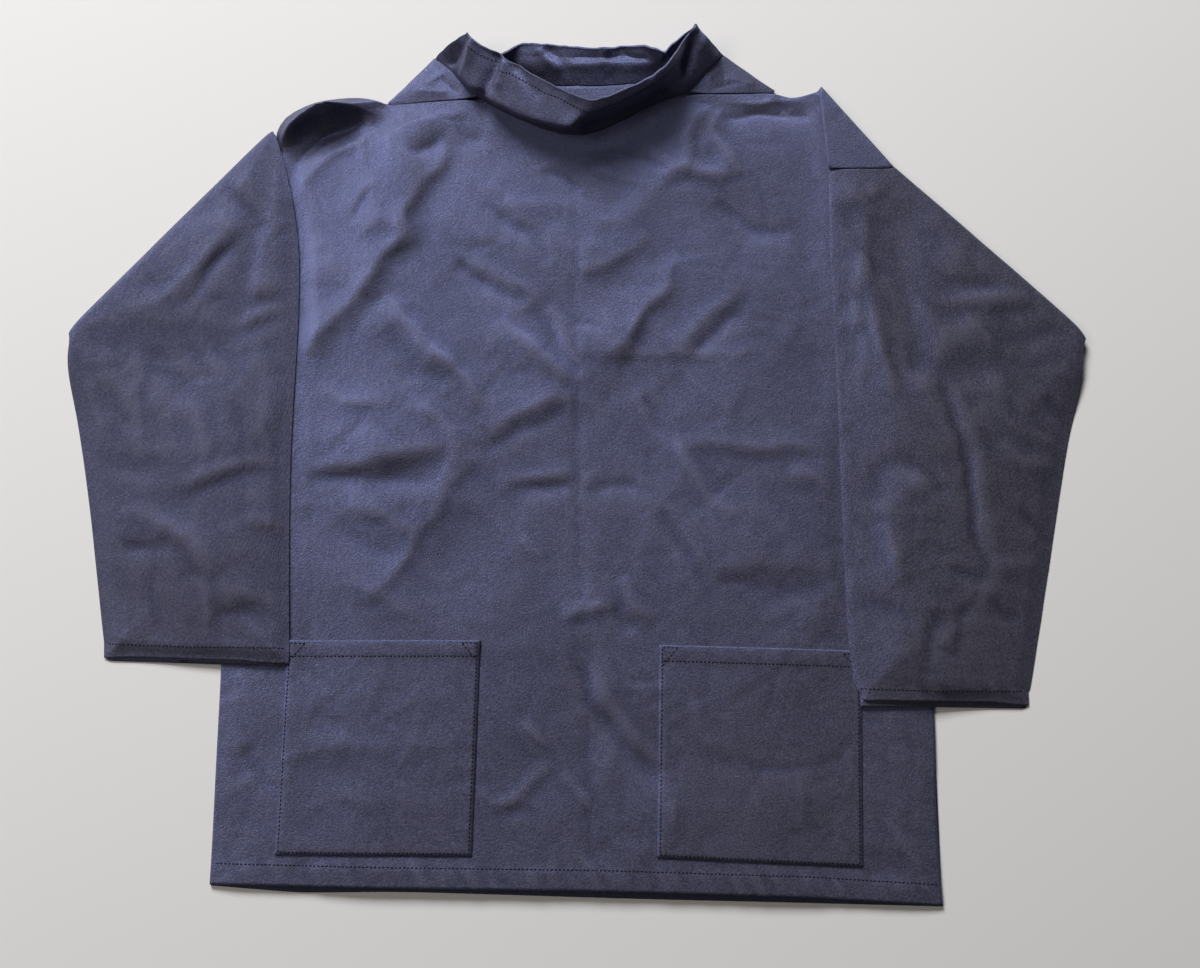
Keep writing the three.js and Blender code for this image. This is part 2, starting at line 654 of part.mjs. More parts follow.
// Directions out of the ring, square to the neck line
function collarDirections() {
  const count = collarSections.length;
  return collarSections.map((section, i) => {
    const before = collarSections[(i + count - 1) % count];
    const after = collarSections[(i + 1) % count];
    const dx = after.bx - before.bx;
    const dy = after.by - before.by;
    const length = Math.hypot(dx, dy);
    return { x: dy / length, y: -dx / length };
  });
}

function collarSheet() {
  const outward = collarDirections();
  const rows = collarRows.map((part) => {
    const ring = collarSections.map((section, i) => {
      const swell = section.bulge * Math.sin(Math.PI * part ** 0.8);
      const out = swell + section.side * collarShift * (1 - part);
      return {
        x: lerp(section.bx, section.tx, part) + outward[i].x * out,
        y: lerp(section.by, section.ty, part) + outward[i].y * out,
        z: lerp(section.bz, section.tz, part),
      };
    });
    return [...ring, ring[0]];
  });
  const sheet = [];
  joinRows(sheet, rows);
  return sheet;
}

function pocketSheet(pocket) {
  const rows = pocketRows.map((down) => {
    const row = [];
    for (let i = 0; i <= pocketColumns; i += 1) {
      const across = i / pocketColumns;
      const mix = (axis) => lerp(
        lerp(pocket.topLeft[axis], pocket.topRight[axis], across),
        lerp(pocket.bottomLeft[axis], pocket.bottomRight[axis], across),
        down,
      );
      const x = mix(0);
      const y = mix(1);
      const atHem = down * (pocket.topLeft[1] - pocket.bottomLeft[1]) < pocketHem;
      const wall = atHem ? hemWall : clothWall;
      row.push({ x, y, z: frontHeight(x, y) + pocketLift + (wall - clothWall) / 2, wall });
    }
    return row;
  });
  const sheet = [];
  joinRows(sheet, rows);
  return sheet;
}

const smock = new THREE.Group();

function addPiece(name, geometry, roughness) {
  const material = new THREE.MeshStandardMaterial({ color: clothColour, roughness, metalness: 0 });
  const mesh = new THREE.Mesh(geometry, material);
  mesh.name = name;
  smock.add(mesh);
}

addPiece('back_body', clothGeometry(backSheet()), 0.92);
addPiece('front_body', clothGeometry(frontSheet()), 0.9);
addPiece('sleeve_left', clothGeometry(sleeveSheet(leftSleeve)), 0.9);
addPiece('sleeve_right', clothGeometry(sleeveSheet(rightSleeve)), 0.9);
addPiece('neck_gusset_left', clothGeometry(gussetSheet(leftGusset)), 0.9);
addPiece('neck_gusset_right', clothGeometry(gussetSheet(rightGusset)), 0.9);
addPiece('collar', clothGeometry(collarSheet(), collarWall), 0.88);
for (const pocket of pockets) addPiece(pocket.name, clothGeometry(pocketSheet(pocket)), 0.9);

// The origin is the middle of the outline, on the surface that the smock lies on
const outline = new THREE.Box3().setFromObject(smock);
smock.position.set(
  -(outline.min.x + outline.max.x) / 2,
  -(outline.min.y + outline.max.y) / 2,
  -outline.min.z,
);

export default smock;
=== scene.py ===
# Fisherman smock of navy cotton drill, laid flat: the cloth, its creases and its sewing
import math

import bmesh
import bpy
import numpy as np
from mathutils import Matrix, Vector
from mathutils.bvhtree import BVHTree
from mathutils.kdtree import KDTree


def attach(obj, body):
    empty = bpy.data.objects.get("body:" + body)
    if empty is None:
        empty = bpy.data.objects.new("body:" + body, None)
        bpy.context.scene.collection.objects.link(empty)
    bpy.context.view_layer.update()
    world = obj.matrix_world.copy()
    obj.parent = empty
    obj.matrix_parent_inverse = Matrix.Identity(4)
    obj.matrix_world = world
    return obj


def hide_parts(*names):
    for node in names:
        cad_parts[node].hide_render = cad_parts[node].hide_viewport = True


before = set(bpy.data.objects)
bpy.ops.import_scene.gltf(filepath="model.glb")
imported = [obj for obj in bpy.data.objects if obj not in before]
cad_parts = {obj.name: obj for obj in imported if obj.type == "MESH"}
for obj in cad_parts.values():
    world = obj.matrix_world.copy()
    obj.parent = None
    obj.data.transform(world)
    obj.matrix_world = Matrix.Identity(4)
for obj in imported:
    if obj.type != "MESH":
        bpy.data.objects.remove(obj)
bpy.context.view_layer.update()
mm = 0.001

cameraSet = {
    "place": (0.0191, -0.2096, 1.205),  # over the middle, on the hem side
    "tilt": 8.8,                        # degrees from straight down, towards the collar
    "lens": 42,
    "sensor": 36,
    "far": 20,
}
windowSet = {
    "place": (-1.1, 3.3, 2.6),  # beyond the collar, a little to the left
    "aim": (0.0, 0.05, 0.0),
    "size": (1.9, 1.5),
    "power": 368,
    "colour": (0.88, 0.92, 1.0),
}
fillSet = {
    "place": (-1.7, 0.0, 2.3),
    "aim": (0, 0, 0),
    "size": (1.4, 1.4),
    "power": 27,
    "colour": (1.0, 0.97, 0.94),
}
skySet = {"colour": (0.95, 0.96, 1.0), "strength": 0.07}
floorSet = {"size": 6.0, "colour": (0.50, 0.475, 0.44), "roughness": 0.85}


def addObject(name, data):
    newObject = bpy.data.objects.new(name, data)
    bpy.context.scene.collection.objects.link(newObject)
    return newObject


def meshFrom(name, bm):
    mesh = bpy.data.meshes.new(name)
    bm.to_mesh(mesh)
    bm.free()
    return mesh


def makeCamera():
    data = bpy.data.cameras.new("camera")
    data.lens = cameraSet["lens"]
    data.sensor_width = cameraSet["sensor"]
    data.clip_end = cameraSet["far"]
    camera = addObject("camera", data)
    camera.location = cameraSet["place"]
    camera.rotation_euler = (math.radians(cameraSet["tilt"]), 0, 0)
    bpy.context.scene.camera = camera


def makeLight(name, s):
    data = bpy.data.lights.new(name, "AREA")
    data.energy = s["power"]
    data.color = s["colour"]
    data.shape = "RECTANGLE"
    data.size, data.size_y = s["size"]
    light = addObject(name, data)
    light.location = s["place"]
    light.rotation_mode = "QUATERNION"
    light.rotation_quaternion = (Vector(s["aim"]) - Vector(s["place"])).to_track_quat("-Z", "Y")


def makeSky():
    world = bpy.data.worlds.new("room")
    world.use_nodes = True
    background = world.node_tree.nodes["Background"]
    background.inputs["Color"].default_value = (*skySet["colour"], 1)
    background.inputs["Strength"].default_value = skySet["strength"]
    bpy.context.scene.world = world
    bpy.context.scene.view_settings.view_transform = "Standard"


def newMaterial(name):
    material = bpy.data.materials.new(name)
    material.use_nodes = True
    tree = material.node_tree
    return material, tree, tree.nodes["Principled BSDF"]


def makeFloor():
    bm = bmesh.new()
    bmesh.ops.create_grid(bm, x_segments=1, y_segments=1, size=floorSet["size"] / 2)
    floor = addObject("floor", meshFrom("floor", bm))
    material, _, shader = newMaterial("palePlaster")
    shader.inputs["Base Color"].default_value = (*floorSet["colour"], 1)
    shader.inputs["Roughness"].default_value = floorSet["roughness"]
    floor.data.materials.append(material)


def newGroup(name, inputs, outputs):
    # a socket is for a number, a vector or a colour, as its value is
    group = bpy.data.node_groups.new(name, "ShaderNodeTree")
    for way, sockets in (("INPUT", inputs), ("OUTPUT", outputs)):
        for label, value in sockets.items():
            kind = "Float" if isinstance(value, float) else "Vector" if len(value) == 3 else "Color"
            socket = group.interface.new_socket(label, in_out=way, socket_type="NodeSocket" + kind)
            socket.default_value = value
    nodes = group.nodes
    return group, nodes.new("NodeGroupInput"), nodes.new("NodeGroupOutput")


def giveSocket(tree, socket, value):
    # another node's output is linked, a plain value is set
    if hasattr(value, "is_output"):
        tree.links.new(value, socket)
    else:
        socket.default_value = value


def addMath(tree, kind, first, second=0.0):
    node = tree.nodes.new("ShaderNodeMath")
    node.operation = kind
    giveSocket(tree, node.inputs[0], first)
    giveSocket(tree, node.inputs[1], second)
    return node.outputs[0]


def addSpread(tree, value, strength):
    # a value from 0 to 1, centred on 0 and scaled
    return addMath(tree, "MULTIPLY", addMath(tree, "SUBTRACT", value, 0.5), strength)


def addVector(tree, kind, first, second):
    node = tree.nodes.new("ShaderNodeVectorMath")
    node.operation = kind
    giveSocket(tree, node.inputs[0], first)
    giveSocket(tree, node.inputs["Scale" if kind == "SCALE" else 1], second)
    return node.outputs[0]


def addNoise(tree, vector, scale, detail=2.0, output="Fac"):
    node = tree.nodes.new("ShaderNodeTexNoise")
    node.inputs["Scale"].default_value = scale
    node.inputs["Detail"].default_value = detail
    tree.links.new(vector, node.inputs["Vector"])
    return node.outputs[output]


def addSmoothStep(tree, value, low, high):
    node = tree.nodes.new("ShaderNodeMapRange")
    node.interpolation_type = "SMOOTHSTEP"
    node.inputs["From Min"].default_value = low
    node.inputs["From Max"].default_value = high
    tree.links.new(value, node.inputs["Value"])
    return node.outputs[0]


def addMix(tree, factor, first, second):
    node = tree.nodes.new("ShaderNodeMix")
    node.data_type = "RGBA"
    for socket, value in ((node.inputs["Factor"], factor), (node.inputs[6], first), (node.inputs[7], second)):
        giveSocket(tree, socket, value)
    return node.outputs[2]


weaveSet = {
    "slant": 0.62,       # how far the ribs lean
    "wander": 0.0016,    # metres that a rib strays
    "wanderScale": 160,
    "slubScale": 620,
    "ribHeight": 0.5,
    "slubHeight": 4.0,
}


def makeWeaveGroup():
    # drill: slanting ribs of one set of threads, broken up by slubs
    s = weaveSet
    group, given, out = newGroup("drillWeave", {"Vector": (0, 0, 0), "Ribs per metre": 780.0, "Slub": 0.5},
                                 {"Height": 0.0, "Thread": 0.0})
    vector = given.outputs["Vector"]
    split = group.nodes.new("ShaderNodeSeparateXYZ")
    group.links.new(vector, split.inputs[0])
    slant = addMath(group, "ADD", split.outputs[0], addMath(group, "MULTIPLY", split.outputs[1], s["slant"]))
    wander = addMath(group, "MULTIPLY", addNoise(group, vector, s["wanderScale"]), s["wander"])
    phase = addMath(group, "MULTIPLY", addMath(group, "ADD", slant, wander), given.outputs["Ribs per metre"])
    rib = addMath(group, "SINE", addMath(group, "MULTIPLY", phase, 2 * math.pi))
    slubs = addSpread(group, addNoise(group, vector, s["slubScale"], 3.0), given.outputs["Slub"])
    height = addMath(group, "ADD", addMath(group, "MULTIPLY", rib, s["ribHeight"]),
                     addMath(group, "MULTIPLY", slubs, s["slubHeight"]))
    group.links.new(height, out.inputs["Height"])
    group.links.new(addMath(group, "ADD", 0.5, addMath(group, "MULTIPLY", height, 0.5)), out.inputs["Thread"])
    return group


toneSet = {
    "patches": (9.0, 4.0, 0.45),  # of each noise: scale, detail and strength
    "mottle": (90.0, 3.0, 0.4),
    "fleck": (520.0, 2.0, 1.7),
    "thread": 1.5,
    "middle": 0.42,               # 0 is all deep dye, 1 all worn
    "uneven": 0.14,
}


def makeToneGroup():
    # navy dye: patches a little faded or fresh, flecks, and the relief's tone: ridges lighter as rubbed wear and
    # painted highlight, troughs darker as painted shade
    s = toneSet
    group, given, out = newGroup("navyTone", {
        "Vector": (0, 0, 0), "Deep": (0.01, 0.01, 0.02, 1), "Worn": (0.03, 0.03, 0.06, 1),
        "Thread": 0.5, "RubAndShade": 0.0, "Roughness": 0.8}, {"Color": (0, 0, 0, 1), "Roughness": 0.0})
    # the relief tone adds painted shade in troughs, and painted highlight with wear on ridges
    wearAndShade = addMath(group, "ADD", given.outputs["RubAndShade"], s["middle"])
    wearAndShade = addMath(group, "ADD", wearAndShade, addSpread(group, given.outputs["Thread"], s["thread"]))
    noises = {}
    for name in ("patches", "mottle", "fleck"):
        scale, detail, strength = s[name]
        noises[name] = addNoise(group, given.outputs["Vector"], scale, detail)
        wearAndShade = addMath(group, "ADD", wearAndShade, addSpread(group, noises[name], strength))
    clamp = group.nodes.new("ShaderNodeClamp")
    group.links.new(wearAndShade, clamp.inputs["Value"])
    colour = addMix(group, clamp.outputs[0], given.outputs["Deep"], given.outputs["Worn"])
    group.links.new(colour, out.inputs["Color"])
    rough = addMath(group, "ADD", given.outputs["Roughness"], addSpread(group, noises["mottle"], s["uneven"]))
    group.links.new(rough, out.inputs["Roughness"])
    return group


fineSet = {
    "bend": (11, 3),       # scale and detail of the noise that bends the lines
    "layers": ((1.0, 1.0, 0.0), (2.3, 0.5, 3.7)),  # how much closer the lines lie, their height and a shift
    "width": 0.15,
    "whereScale": 13.0,    # the lines show only where this noise is high
    "where": (0.44, 0.62),
}


def makeCreaseGroup():
    # fine broken lines left by folding and handling
    s = fineSet
    group, given, out = newGroup("fineCreases", {"Vector": (0, 0, 0), "Cells per metre": 15.0, "Bend": 0.05},
                                 {"Height": 0.0})
    vector = given.outputs["Vector"]
    centred = addVector(group, "SUBTRACT", addNoise(group, vector, *s["bend"], "Color"), (0.5, 0.5, 0.5))
    bent = addVector(group, "ADD", vector, addVector(group, "SCALE", centred, given.outputs["Bend"]))
    total = 0.0
    for factor, height, shift in s["layers"]:
        cells = group.nodes.new("ShaderNodeTexVoronoi")
        cells.voronoi_dimensions = "2D"
        cells.feature = "DISTANCE_TO_EDGE"
        group.links.new(bent, cells.inputs["Vector"])
        group.links.new(addMath(group, "MULTIPLY", given.outputs["Cells per metre"], factor), cells.inputs["Scale"])
        ramp = addSmoothStep(group, cells.outputs["Distance"], 0.0, s["width"] * factor)
        shifted = addVector(group, "ADD", vector, (shift, shift, 0))
        where = addSmoothStep(group, addNoise(group, shifted, s["whereScale"]), *s["where"])
        line = addMath(group, "MULTIPLY", addMath(group, "SUBTRACT", ramp, 1.0), where)
        total = addMath(group, "ADD", total, addMath(group, "MULTIPLY", line, height))
    group.links.new(total, out.inputs["Height"])
    return group


drillSet = {
    "deep": (0.0178, 0.0160, 0.0184, 1),
    "worn": (0.0580, 0.0525, 0.0610, 1),
    "roughness": 0.49,
    "ribs": 780.0,
    "slub": 0.55,
    "weaveBump": (0.85, 0.00026),   # strength and depth
    "creaseBump": (0.6, 0.0006),
    "specular": 0.95,               # times each piece's own shine
    "shader": {
        "IOR": 1.62,
        "Specular Tint": (0.42, 0.48, 1.0, 1),
        "Sheen Weight": 0.12,
        "Sheen Roughness": 0.4,
        "Sheen Tint": (0.42, 0.47, 1.0, 1),
    },
}


def addGroup(tree, group, vector, values):
    node = tree.nodes.new("ShaderNodeGroup")
    node.node_tree = group
    tree.links.new(vector, node.inputs["Vector"])
    for label, value in values.items():
        giveSocket(tree, node.inputs[label], value)
    return node.outputs


def addBump(tree, height, strength, depth):
    node = tree.nodes.new("ShaderNodeBump")
    node.inputs["Strength"].default_value = strength
    node.inputs["Distance"].default_value = depth
    tree.links.new(height, node.inputs["Height"])
    return node


def makeDrill(name, groups, turn, shine):
    s = drillSet
    material, tree, shader = newMaterial(name)
    coords = tree.nodes.new("ShaderNodeTexCoord")
    mapping = tree.nodes.new("ShaderNodeMapping")
    mapping.inputs["Rotation"].default_value = (0, 0, math.radians(turn))
    tree.links.new(coords.outputs["Object"], mapping.inputs["Vector"])
    vector = mapping.outputs[0]
    # relief tone of the points: rubbed wear and painted highlight on ridges, painted shade in troughs
    rubAndShade = tree.nodes.new("ShaderNodeAttribute")
    rubAndShade.attribute_name = "rubAndShade"
    weave = addGroup(tree, groups["weave"], vector, {"Ribs per metre": s["ribs"], "Slub": s["slub"]})
    tone = addGroup(tree, groups["tone"], vector, {
        "Deep": s["deep"], "Worn": s["worn"], "Roughness": s["roughness"],
        "Thread": weave["Thread"], "RubAndShade": rubAndShade.outputs["Fac"]})
    creases = addGroup(tree, groups["creases"], vector, {})
    creaseBump = addBump(tree, creases["Height"], *s["creaseBump"])
    weaveBump = addBump(tree, weave["Height"], *s["weaveBump"])
    tree.links.new(creaseBump.outputs["Normal"], weaveBump.inputs["Normal"])
    tree.links.new(tone["Color"], shader.inputs["Base Color"])
    tree.links.new(tone["Roughness"], shader.inputs["Roughness"])
    tree.links.new(weaveBump.outputs["Normal"], shader.inputs["Normal"])
    shader.inputs["Specular IOR Level"].default_value = s["specular"] * shine
    for label, value in s["shader"].items():
        shader.inputs[label].default_value = value
    return material


# The crease tools work in millimetres, in the frame of the tables below
creaseSet = {
    "reach": 3.4,        # widths beyond which a crease has no effect
    "wander": (0.45, 24),  # how far its line strays, in widths, and over what length
    "taper": 0.6,
    "uneven": (0.3, 28),   # how much its height changes, and over what length
    "fall": 1.25,
    "leastRoom": 0.05,   # depth a trough may have over no room at all
}
latticeSet = {"cells": 64, "shift": (20.3, 23.7)}


def fadeBetween(value, low, high):
    t = np.clip((value - low) / (high - low), 0, 1)
    return t * t * (3 - 2 * t)


def fadeFrom(distance, share, reach):
    # a share at no distance, growing to all of it at the reach
    return share + (1 - share) * fadeBetween(distance, 0, reach)


def softNoise(x, y, size, seed):
    # smooth random heights from -1 to 1, one random value every size millimetres
    random = np.random.default_rng(seed)
    n = latticeSet["cells"]
    lattice = random.uniform(-1, 1, (n, n))
    u, v = x / size + latticeSet["shift"][0], y / size + latticeSet["shift"][1]
    i, j = np.floor(u).astype(int), np.floor(v).astype(int)
    fu, fv = u - i, v - j
    fu, fv = fu * fu * (3 - 2 * fu), fv * fv * (3 - 2 * fv)
    a, b = lattice[i % n, j % n], lattice[(i + 1) % n, j % n]
    c, d = lattice[i % n, (j + 1) % n], lattice[(i + 1) % n, (j + 1) % n]
    return (a * (1 - fu) + b * fu) * (1 - fv) + (c * (1 - fu) + d * fu) * fv


def curveThrough(points, steps=6):
    # a smooth line through the points of a crease
    p = [np.array(q, float) for q in points]
    if len(p) == 2:
        return np.array([p[0] + (p[1] - p[0]) * t for t in np.linspace(0, 1, steps + 1)])
    p = [2 * p[0] - p[1], *p, 2 * p[-1] - p[-2]]
    line = []
    for k in range(1, len(p) - 2):
        for t in np.linspace(0, 1, steps, endpoint=False):
            line.append(0.5 * (2 * p[k] + (p[k + 1] - p[k - 1]) * t
                               + (2 * p[k - 1] - 5 * p[k] + 4 * p[k + 1] - p[k + 2]) * t * t
                               + (3 * p[k] - p[k - 1] - 3 * p[k + 1] + p[k + 2]) * t ** 3))
    line.append(p[-2])
    return np.array(line)


def creaseHeights(x, y, creases, seed):
    # each crease: height, width, lean (-1 to 1: how much wider its left side is), then x and y of each point
    s = creaseSet
    total = np.zeros(len(x))
    for k, (height, width, lean, *points) in enumerate(creases):
        line = curveThrough(np.reshape(points, (-1, 2)))
        reach = s["reach"] * width * (1 + abs(lean))
        near = ((x > line[:, 0].min() - reach) & (x < line[:, 0].max() + reach)
                & (y > line[:, 1].min() - reach) & (y < line[:, 1].max() + reach))
        if not near.any():
            continue
        px, py = x[near], y[near]
        stray, every = width * s["wander"][0], s["wander"][1]
        px = px + stray * softNoise(px, py, every, seed + k)
        py = py + stray * softNoise(px, py, every, seed + 200 + k)
        best = np.full(len(px), 1e9)
        side = np.zeros(len(px))
        along = np.zeros(len(px))
        lengths = np.r_[0, np.cumsum(np.hypot(*np.diff(line, axis=0).T))]
        for (x0, y0), (x1, y1), start in zip(line[:-1], line[1:], lengths):
            dx, dy = x1 - x0, y1 - y0
            length = math.hypot(dx, dy)
            t = np.clip(((px - x0) * dx + (py - y0) * dy) / length ** 2, 0, 1)
            ox, oy = px - x0 - t * dx, py - y0 - t * dy
            away = np.hypot(ox, oy)
            closer = away < best
            best[closer] = away[closer]
            side[closer] = np.sign(dx * oy - dy * ox)[closer]
            along[closer] = (start + t * length)[closer]
        taper = np.sin(math.pi * np.clip(along / lengths[-1], 0, 1)) ** s["taper"]
        taper = taper * (1 + s["uneven"][0] * softNoise(px, py, s["uneven"][1], seed + 400 + k))
        spread = width * (1 + lean * side)
        total[near] += height * taper * np.exp(-(best / spread) ** s["fall"])
    return total


scatterSet = {"heights": (0.2, 0.6), "widths": (3.4, 7.5), "lengths": (16, 70), "bend": 0.25, "lean": 0.4}


def scatterCreases(box, count, seed):
    # small creases with no place of their own, bent a little, as rows for creaseHeights
    s = scatterSet
    random = np.random.default_rng(seed)
    x0, y0, x1, y1 = box
    rows = []
    for _ in range(count):
        px, py = random.uniform(x0, x1), random.uniform(y0, y1)
        turn = random.uniform(0, math.pi)
        length = random.uniform(*s["lengths"])
        dx, dy = math.cos(turn) * length / 2, math.sin(turn) * length / 2
        bend = random.uniform(-s["bend"], s["bend"])
        height = random.uniform(*s["heights"]) * random.choice((-1, 1, 1))
        width, lean = random.uniform(*s["widths"]), random.uniform(-s["lean"], s["lean"])
        rows.append((height, width, lean, px - dx, py - dy, px - dy * bend, py + dx * bend, px + dx, py + dy))
    return rows


crumpleSet = {"sizes": ((104, 2.6), (47, 1.1), (20, 0.24)), "bend": (0.7, 1.7), "middle": 0.45, "round": 0.012}


def crumple(x, y, seed):
    # a soft net of small creases: rounded ridges of noise bent by itself
    s = crumpleSet
    far, wide = s["bend"]
    total = np.zeros(len(x))
    for k, (size, height) in enumerate(s["sizes"]):
        bx = x + size * far * softNoise(x, y, size * wide, seed + 11 + k)
        by = y + size * far * softNoise(x, y, size * wide, seed + 31 + k)
        total += height * (s["middle"] - np.sqrt(softNoise(bx, by, size, seed + k) ** 2 + s["round"]))
    return total


def moundHeights(x, y, mounds):
    # each mound: height, place, two radii and the turn of the first one in degrees
    total = np.zeros(len(x))
    for height, px, py, long, short, turn in mounds:
        c, s = math.cos(math.radians(turn)), math.sin(math.radians(turn))
        u, v = (x - px) * c + (y - py) * s, (y - py) * c - (x - px) * s
        total += height * np.exp(-(u / long) ** 2 - (v / short) ** 2)
    return total


pushSet = {"steps": 5, "fall": 1.6}


def pushAlong(points, pushes):
    # each push: its reach, its direction, then the line of points it works along
    total = np.zeros((len(points), 3))
    for reach, push, *line in pushes:
        line = curveThrough(line, pushSet["steps"])
        best = np.full(len(points), 1e9)
        for start, end in zip(line[:-1], line[1:]):
            step = end - start
            t = np.clip((points - start) @ step / (step @ step), 0, 1)
            best = np.minimum(best, np.linalg.norm(points - start - t[:, None] * step, axis=1))
        total += np.exp(-(best / reach) ** pushSet["fall"])[:, None] * np.array(push, float)
    return points + total


puckerSet = {"reach": 12, "slant": 0.5, "stretch": 0.25, "size": 8.5}


def seamPucker(x, y, line, seed):
    # short ripples across a row of stitches that has drawn the cloth up
    away = y - np.interp(x, [p[0] for p in line], [p[1] for p in line])
    s = puckerSet
    near = np.exp(-(away / s["reach"]) ** 2)
    return near * softNoise(x + away * s["slant"], away * s["stretch"], s["size"], seed)


def softFloor(relief, low):
    # keeps a relief above a lowest value, with a soft turn
    room = np.maximum(-low, creaseSet["leastRoom"])
    return np.where(relief < 0, -room * np.tanh(-relief / room), relief)


clothSet = {
    "merge": 0.00002,       # metres, joins the loose triangles of a copied solid
    "quadAngles": (60, 70),  # how bent and how uneven two triangles may be that become one face
    "sharpAngle": 70,       # rims stay crisp, folds turn round
    "shadeAngle": 50,
    "wall": 1.2,            # thickness of one layer, mm
    "under": (0.35, 0.1),   # how far under its layer a point looks for room, from the upper and the lower side, mm
    "down": -0.3,           # below this a normal looks down
    "upright": 0.55,        # and below this, up or down, its face stands upright
    "above": 300,           # height from which the top is looked for, mm
    "shift": (0.535, -3.593),  # mm, from the tables' middle to the frame's
}


def clothFromNode(node, name, levels, cuts):
    # a copy of the solid, merged, turned to quads and refined
    faceAngle, shapeAngle = (math.radians(a) for a in clothSet["quadAngles"])
    bm = bmesh.new()
    bm.from_mesh(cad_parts[node].data)
    bmesh.ops.remove_doubles(bm, verts=bm.verts[:], dist=clothSet["merge"])
    bmesh.ops.join_triangles(bm, faces=bm.faces[:], angle_face_threshold=faceAngle, angle_shape_threshold=shapeAngle)
    crease = bm.edges.layers.float.new("crease_edge")
    for edge in bm.edges:
        if len(edge.link_faces) == 2 and edge.calc_face_angle() > math.radians(clothSet["sharpAngle"]):
            edge[crease] = 1
    mesh = meshFrom(name, bm)
    piece = addObject(name, mesh)
    subsurf = piece.modifiers.new("round", "SUBSURF")
    subsurf.levels = subsurf.render_levels = levels
    graph = bpy.context.evaluated_depsgraph_get()
    finer = bpy.data.meshes.new_from_object(piece.evaluated_get(graph))
    piece.modifiers.clear()
    bm = bmesh.new()
    bm.from_mesh(finer)
    bmesh.ops.subdivide_edges(bm, edges=bm.edges[:], cuts=cuts, use_grid_fill=True)
    bmesh.ops.smooth_vert(bm, verts=bm.verts[:], factor=0.5, use_axis_x=False, use_axis_y=False, use_axis_z=True)
    bm.to_mesh(finer)
    bm.free()
    piece.data = finer
    bpy.data.meshes.remove(mesh)
    finer.name = name
    return piece


def readVertices(piece, key):
    values = np.zeros(len(piece.data.vertices) * 3)
    piece.data.vertices.foreach_get(key, values)
    return values.reshape(-1, 3)


def pointsOf(piece):
    # places of a piece's points in millimetres, in the tables' own frame
    points = readVertices(piece, "co") / mm
    points[:, :2] -= clothSet["shift"]
    return points


def setPoints(piece, points):
    moved = points.copy()
    moved[:, :2] += clothSet["shift"]
    moved[:, 2] = np.maximum(moved[:, 2], 0)  # nothing sinks into the floor
    piece.data.vertices.foreach_set("co", (moved * mm).astype(np.float32).ravel())
    piece.data.update()


def treeOf(pieceList, flat=False):
    # a search tree over the pieces' faces, laid in one plane when flat
    points, faces = [], []
    for piece in pieceList:
        first = len(points)
        points += [(x, y, 0 if flat else z) for x, y, z in pointsOf(piece)]
        faces += [[first + k for k in face.vertices] for face in piece.data.polygons]
    return BVHTree.FromPolygons(points, faces)


def coverDistance(points, tree):
    # how far each point is, seen from above, from the pieces in the tree
    return np.array([tree.find_nearest((x, y, 0))[3] for x, y, _ in points])


def topHeights(points, tree):
    # height of the highest cloth over each point
    tops = np.zeros(len(points))
    for k, (x, y, z) in enumerate(points):
        hit = tree.ray_cast(Vector((x, y, clothSet["above"])), Vector((0, 0, -1)))[0]
        tops[k] = hit.z if hit else z
    return tops


def rimDistance(piece, points):
    # distance, seen from above, to the nearest upright face: a rim or a fold
    upright = np.abs(readVertices(piece, "normal")[:, 2]) < clothSet["upright"]
    tree = KDTree(int(upright.sum()))
    for k, (x, y, _) in enumerate(points[upright]):
        tree.insert((x, y, 0), k)
    tree.balance()
    return np.array([tree.find((x, y, 0))[2] for x, y, _ in points])


def roomBelow(points, normals, tree):
    # free height under the layer each point belongs to
    room = np.zeros(len(points))
    upper, lower = clothSet["under"]
    for k, (x, y, z) in enumerate(points):
        start = z - (clothSet["wall"] + upper if normals[k, 2] > clothSet["down"] else lower)
        hit, normal, _, _ = tree.ray_cast(Vector((x, y, start)), Vector((0, 0, -1)))
        if hit is None:
            room[k] = start
        elif normal.z > 0:
            room[k] = start - hit.z
    return room


# range of the relief tone: painted shade in troughs at the low end, rubbed wear and painted highlight on ridges at
# the high end
rubAndShadeSet = {"rounds": 3, "range": (-0.3, 0.5)}


def markRubAndShade(piece, relief, gain):
    # how proud each point is of its neighbours, kept for the material: ridges lighter as rubbed wear and painted
    # highlight, troughs darker as painted shade
    ends = np.zeros(len(piece.data.edges) * 2, dtype=int)
    piece.data.edges.foreach_get("vertices", ends)
    first, second = ends.reshape(-1, 2).T
    size = len(relief)
    count = np.bincount(ends, minlength=size)
    value = relief.copy()
    for _ in range(rubAndShadeSet["rounds"]):
        total = (np.bincount(first, weights=value[second], minlength=size)
                 + np.bincount(second, weights=value[first], minlength=size))
        value = total / np.maximum(count, 1)
    rubAndShade = np.clip((relief - value) * gain, *rubAndShadeSet["range"])
    attribute = piece.data.attributes.new("rubAndShade", "FLOAT", "POINT")
    attribute.data.foreach_set("value", rubAndShade.astype(np.float32))


def raiseCloth(piece, points, lift, rubAndShade):
    points[:, 2] += lift
    setPoints(piece, points)
    # the relief also sets the painted shade and painted highlight of the tone
    markRubAndShade(piece, lift, rubAndShade)


def smoothShade(piece):
    piece.data.shade_smooth()
    piece.data.set_sharp_from_angle(angle=math.radians(clothSet["shadeAngle"]))


makeCamera()
makeLight("window", windowSet)
makeLight("fill", fillSet)
makeSky()
makeFloor()
print("camera, lights and floor are made")

